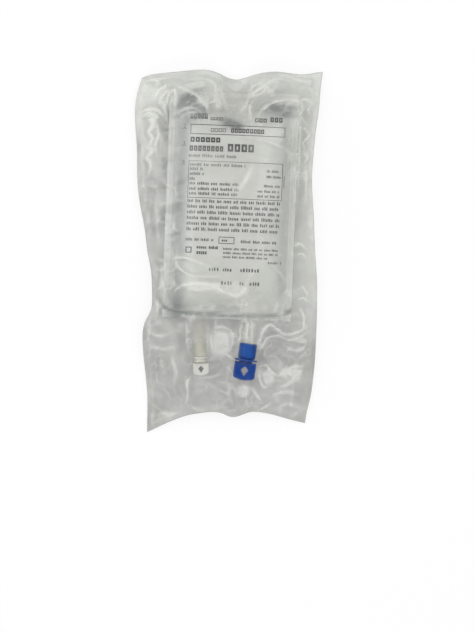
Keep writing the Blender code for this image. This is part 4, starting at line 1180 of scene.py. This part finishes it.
def number_outlines(number, low):
    """A plain number over a short rule, for a volume mark."""
    letters = bpy.data.curves.new("number", "FONT")
    letters.body = str(number)
    letters.size = MARK_NUMBER_SIZE
    letters.resolution_u = 2
    shape = bpy.data.objects.new("number", letters)
    flat = bpy.data.meshes.new_from_object(shape)
    bpy.data.objects.remove(shape)
    left, rise = MARK_NUMBER
    places = [(left + vertex.co.x / MM, low + rise + vertex.co.y / MM) for vertex in flat.vertices]
    outlines = [[places[index] for index in face.vertices] for face in flat.polygons]
    start, stop, width = MARK_RULE
    return outlines + [bar(start, stop, low, low + width)]


def build_print(surface, heavy_look, fine_look):
    heavy = joined(open_squares, OPEN_SQUARES) + joined(block_line, HEAVY_BLOCKS)
    ink_patches("heavy_print", heavy, heavy_look, surface)
    fine = joined(box_lines, FRAMES) + joined(block_line, FINE_BLOCKS)
    fine += joined(paragraph, PARAGRAPHS) + ticks(*TICKS)
    ink_patches("fine_print", fine, fine_look, surface)
    for number, low in enumerate(MARK_FEET, start=1):
        ink_patches(f"volume_mark_{number}", number_outlines(number, low), fine_look, surface)


# Ports


def finish_ports():
    """Gives the spouts, septa and caps their looks. They are carried over as they are."""
    septum = plastic_material("septum_look")
    looks = {
        "infusion_spout": milky_spout_material(),
        "injection_spout": clear_spout_material(),
        "infusion_septum": septum,
        "injection_septum": septum,
        "infusion_cap": white_cap_material(),
        "injection_cap": blue_cap_material(),
    }
    for name, look in looks.items():
        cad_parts[name].material_slots[0].material = look


# Studio


def build_lights():
    """Large soft lamps that point at the pack, in an evenly lit room."""
    world = bpy.data.worlds.new("soft_room")
    bpy.context.scene.world = world
    world.use_nodes = True
    set_inputs(world.node_tree.nodes["Background"], {"Color": (1, 1, 1, 1), "Strength": ROOM_LIGHT})
    for name, where, size, power in LAMPS:
        data = bpy.data.lights.new(name, "AREA")
        data.shape = "RECTANGLE"
        data.size, data.size_y = size
        data.energy = power
        lamp = bpy.data.objects.new(name, data)
        bpy.context.scene.collection.objects.link(lamp)
        lamp.location = where
        lamp.rotation_euler = (Vector() - Vector(where)).to_track_quat("-Z", "Y").to_euler()


def build_floor():
    """A plain floor that catches soft shadows and looks nearly white."""
    look, shader, tree = material("studio_floor")
    grey = (*FLOOR_GREY, 1)
    set_inputs(shader, {"Base Color": grey, "Roughness": FLOOR_ROUGHNESS, "Specular IOR Level": 0.0})
    glow = new_node(tree, "Emission")
    path = new_node(tree, "LightPath")
    share = ranged(tree, path.outputs["Is Camera Ray"], 0.0, FLOOR_GLOW, 0.0, 1.0)
    surface = mixed(tree, share, shader.outputs["BSDF"], glow.outputs["Emission"])
    tree.links.new(surface, tree.nodes["Material Output"].inputs["Surface"])
    bm = bmesh.new()
    bmesh.ops.create_grid(bm, x_segments=2, y_segments=2, size=FLOOR_HALF)
    floor = mesh_object("studio_floor", mesh_from(bm, "studio_floor"), look)
    floor.location.z = FLOOR_HEIGHT


def build_camera():
    """A camera that looks straight down from far away, so that the picture is the photograph's."""
    data = bpy.data.cameras.new("camera")
    camera = bpy.data.objects.new("camera", data)
    bpy.context.scene.collection.objects.link(camera)
    bpy.context.scene.camera = camera
    camera.location = (*place(PICTURE[0] / 2, PICTURE[1] / 2), CAMERA_HEIGHT)
    data.sensor_width = SENSOR_WIDTH
    data.lens = data.sensor_width * CAMERA_HEIGHT / (PICTURE[1] * PIXEL)
    data.clip_end = CLIP_END


def main():
    bpy.context.scene.view_settings.view_transform = "Standard"
    bpy.context.scene.cycles.transparent_max_bounces = SHEET_BOUNCES
    build_lights()
    build_floor()
    build_camera()
    looks = {name: film_material(name, *values) for name, values in FILM_LOOKS.items()}
    bag_front = build_bag_film("front", True, looks["bag_film_look"])
    build_bag_film("back", False, looks["bag_film_look"])
    build_solution(solution_material())
    build_overwrap_front(looks["overwrap_front_look"])
    build_overwrap_back(looks["overwrap_back_look"])
    build_print(surface_tree(bag_front), plastic_material("black_ink"), plastic_material("grey_ink"))
    finish_ports()


main()
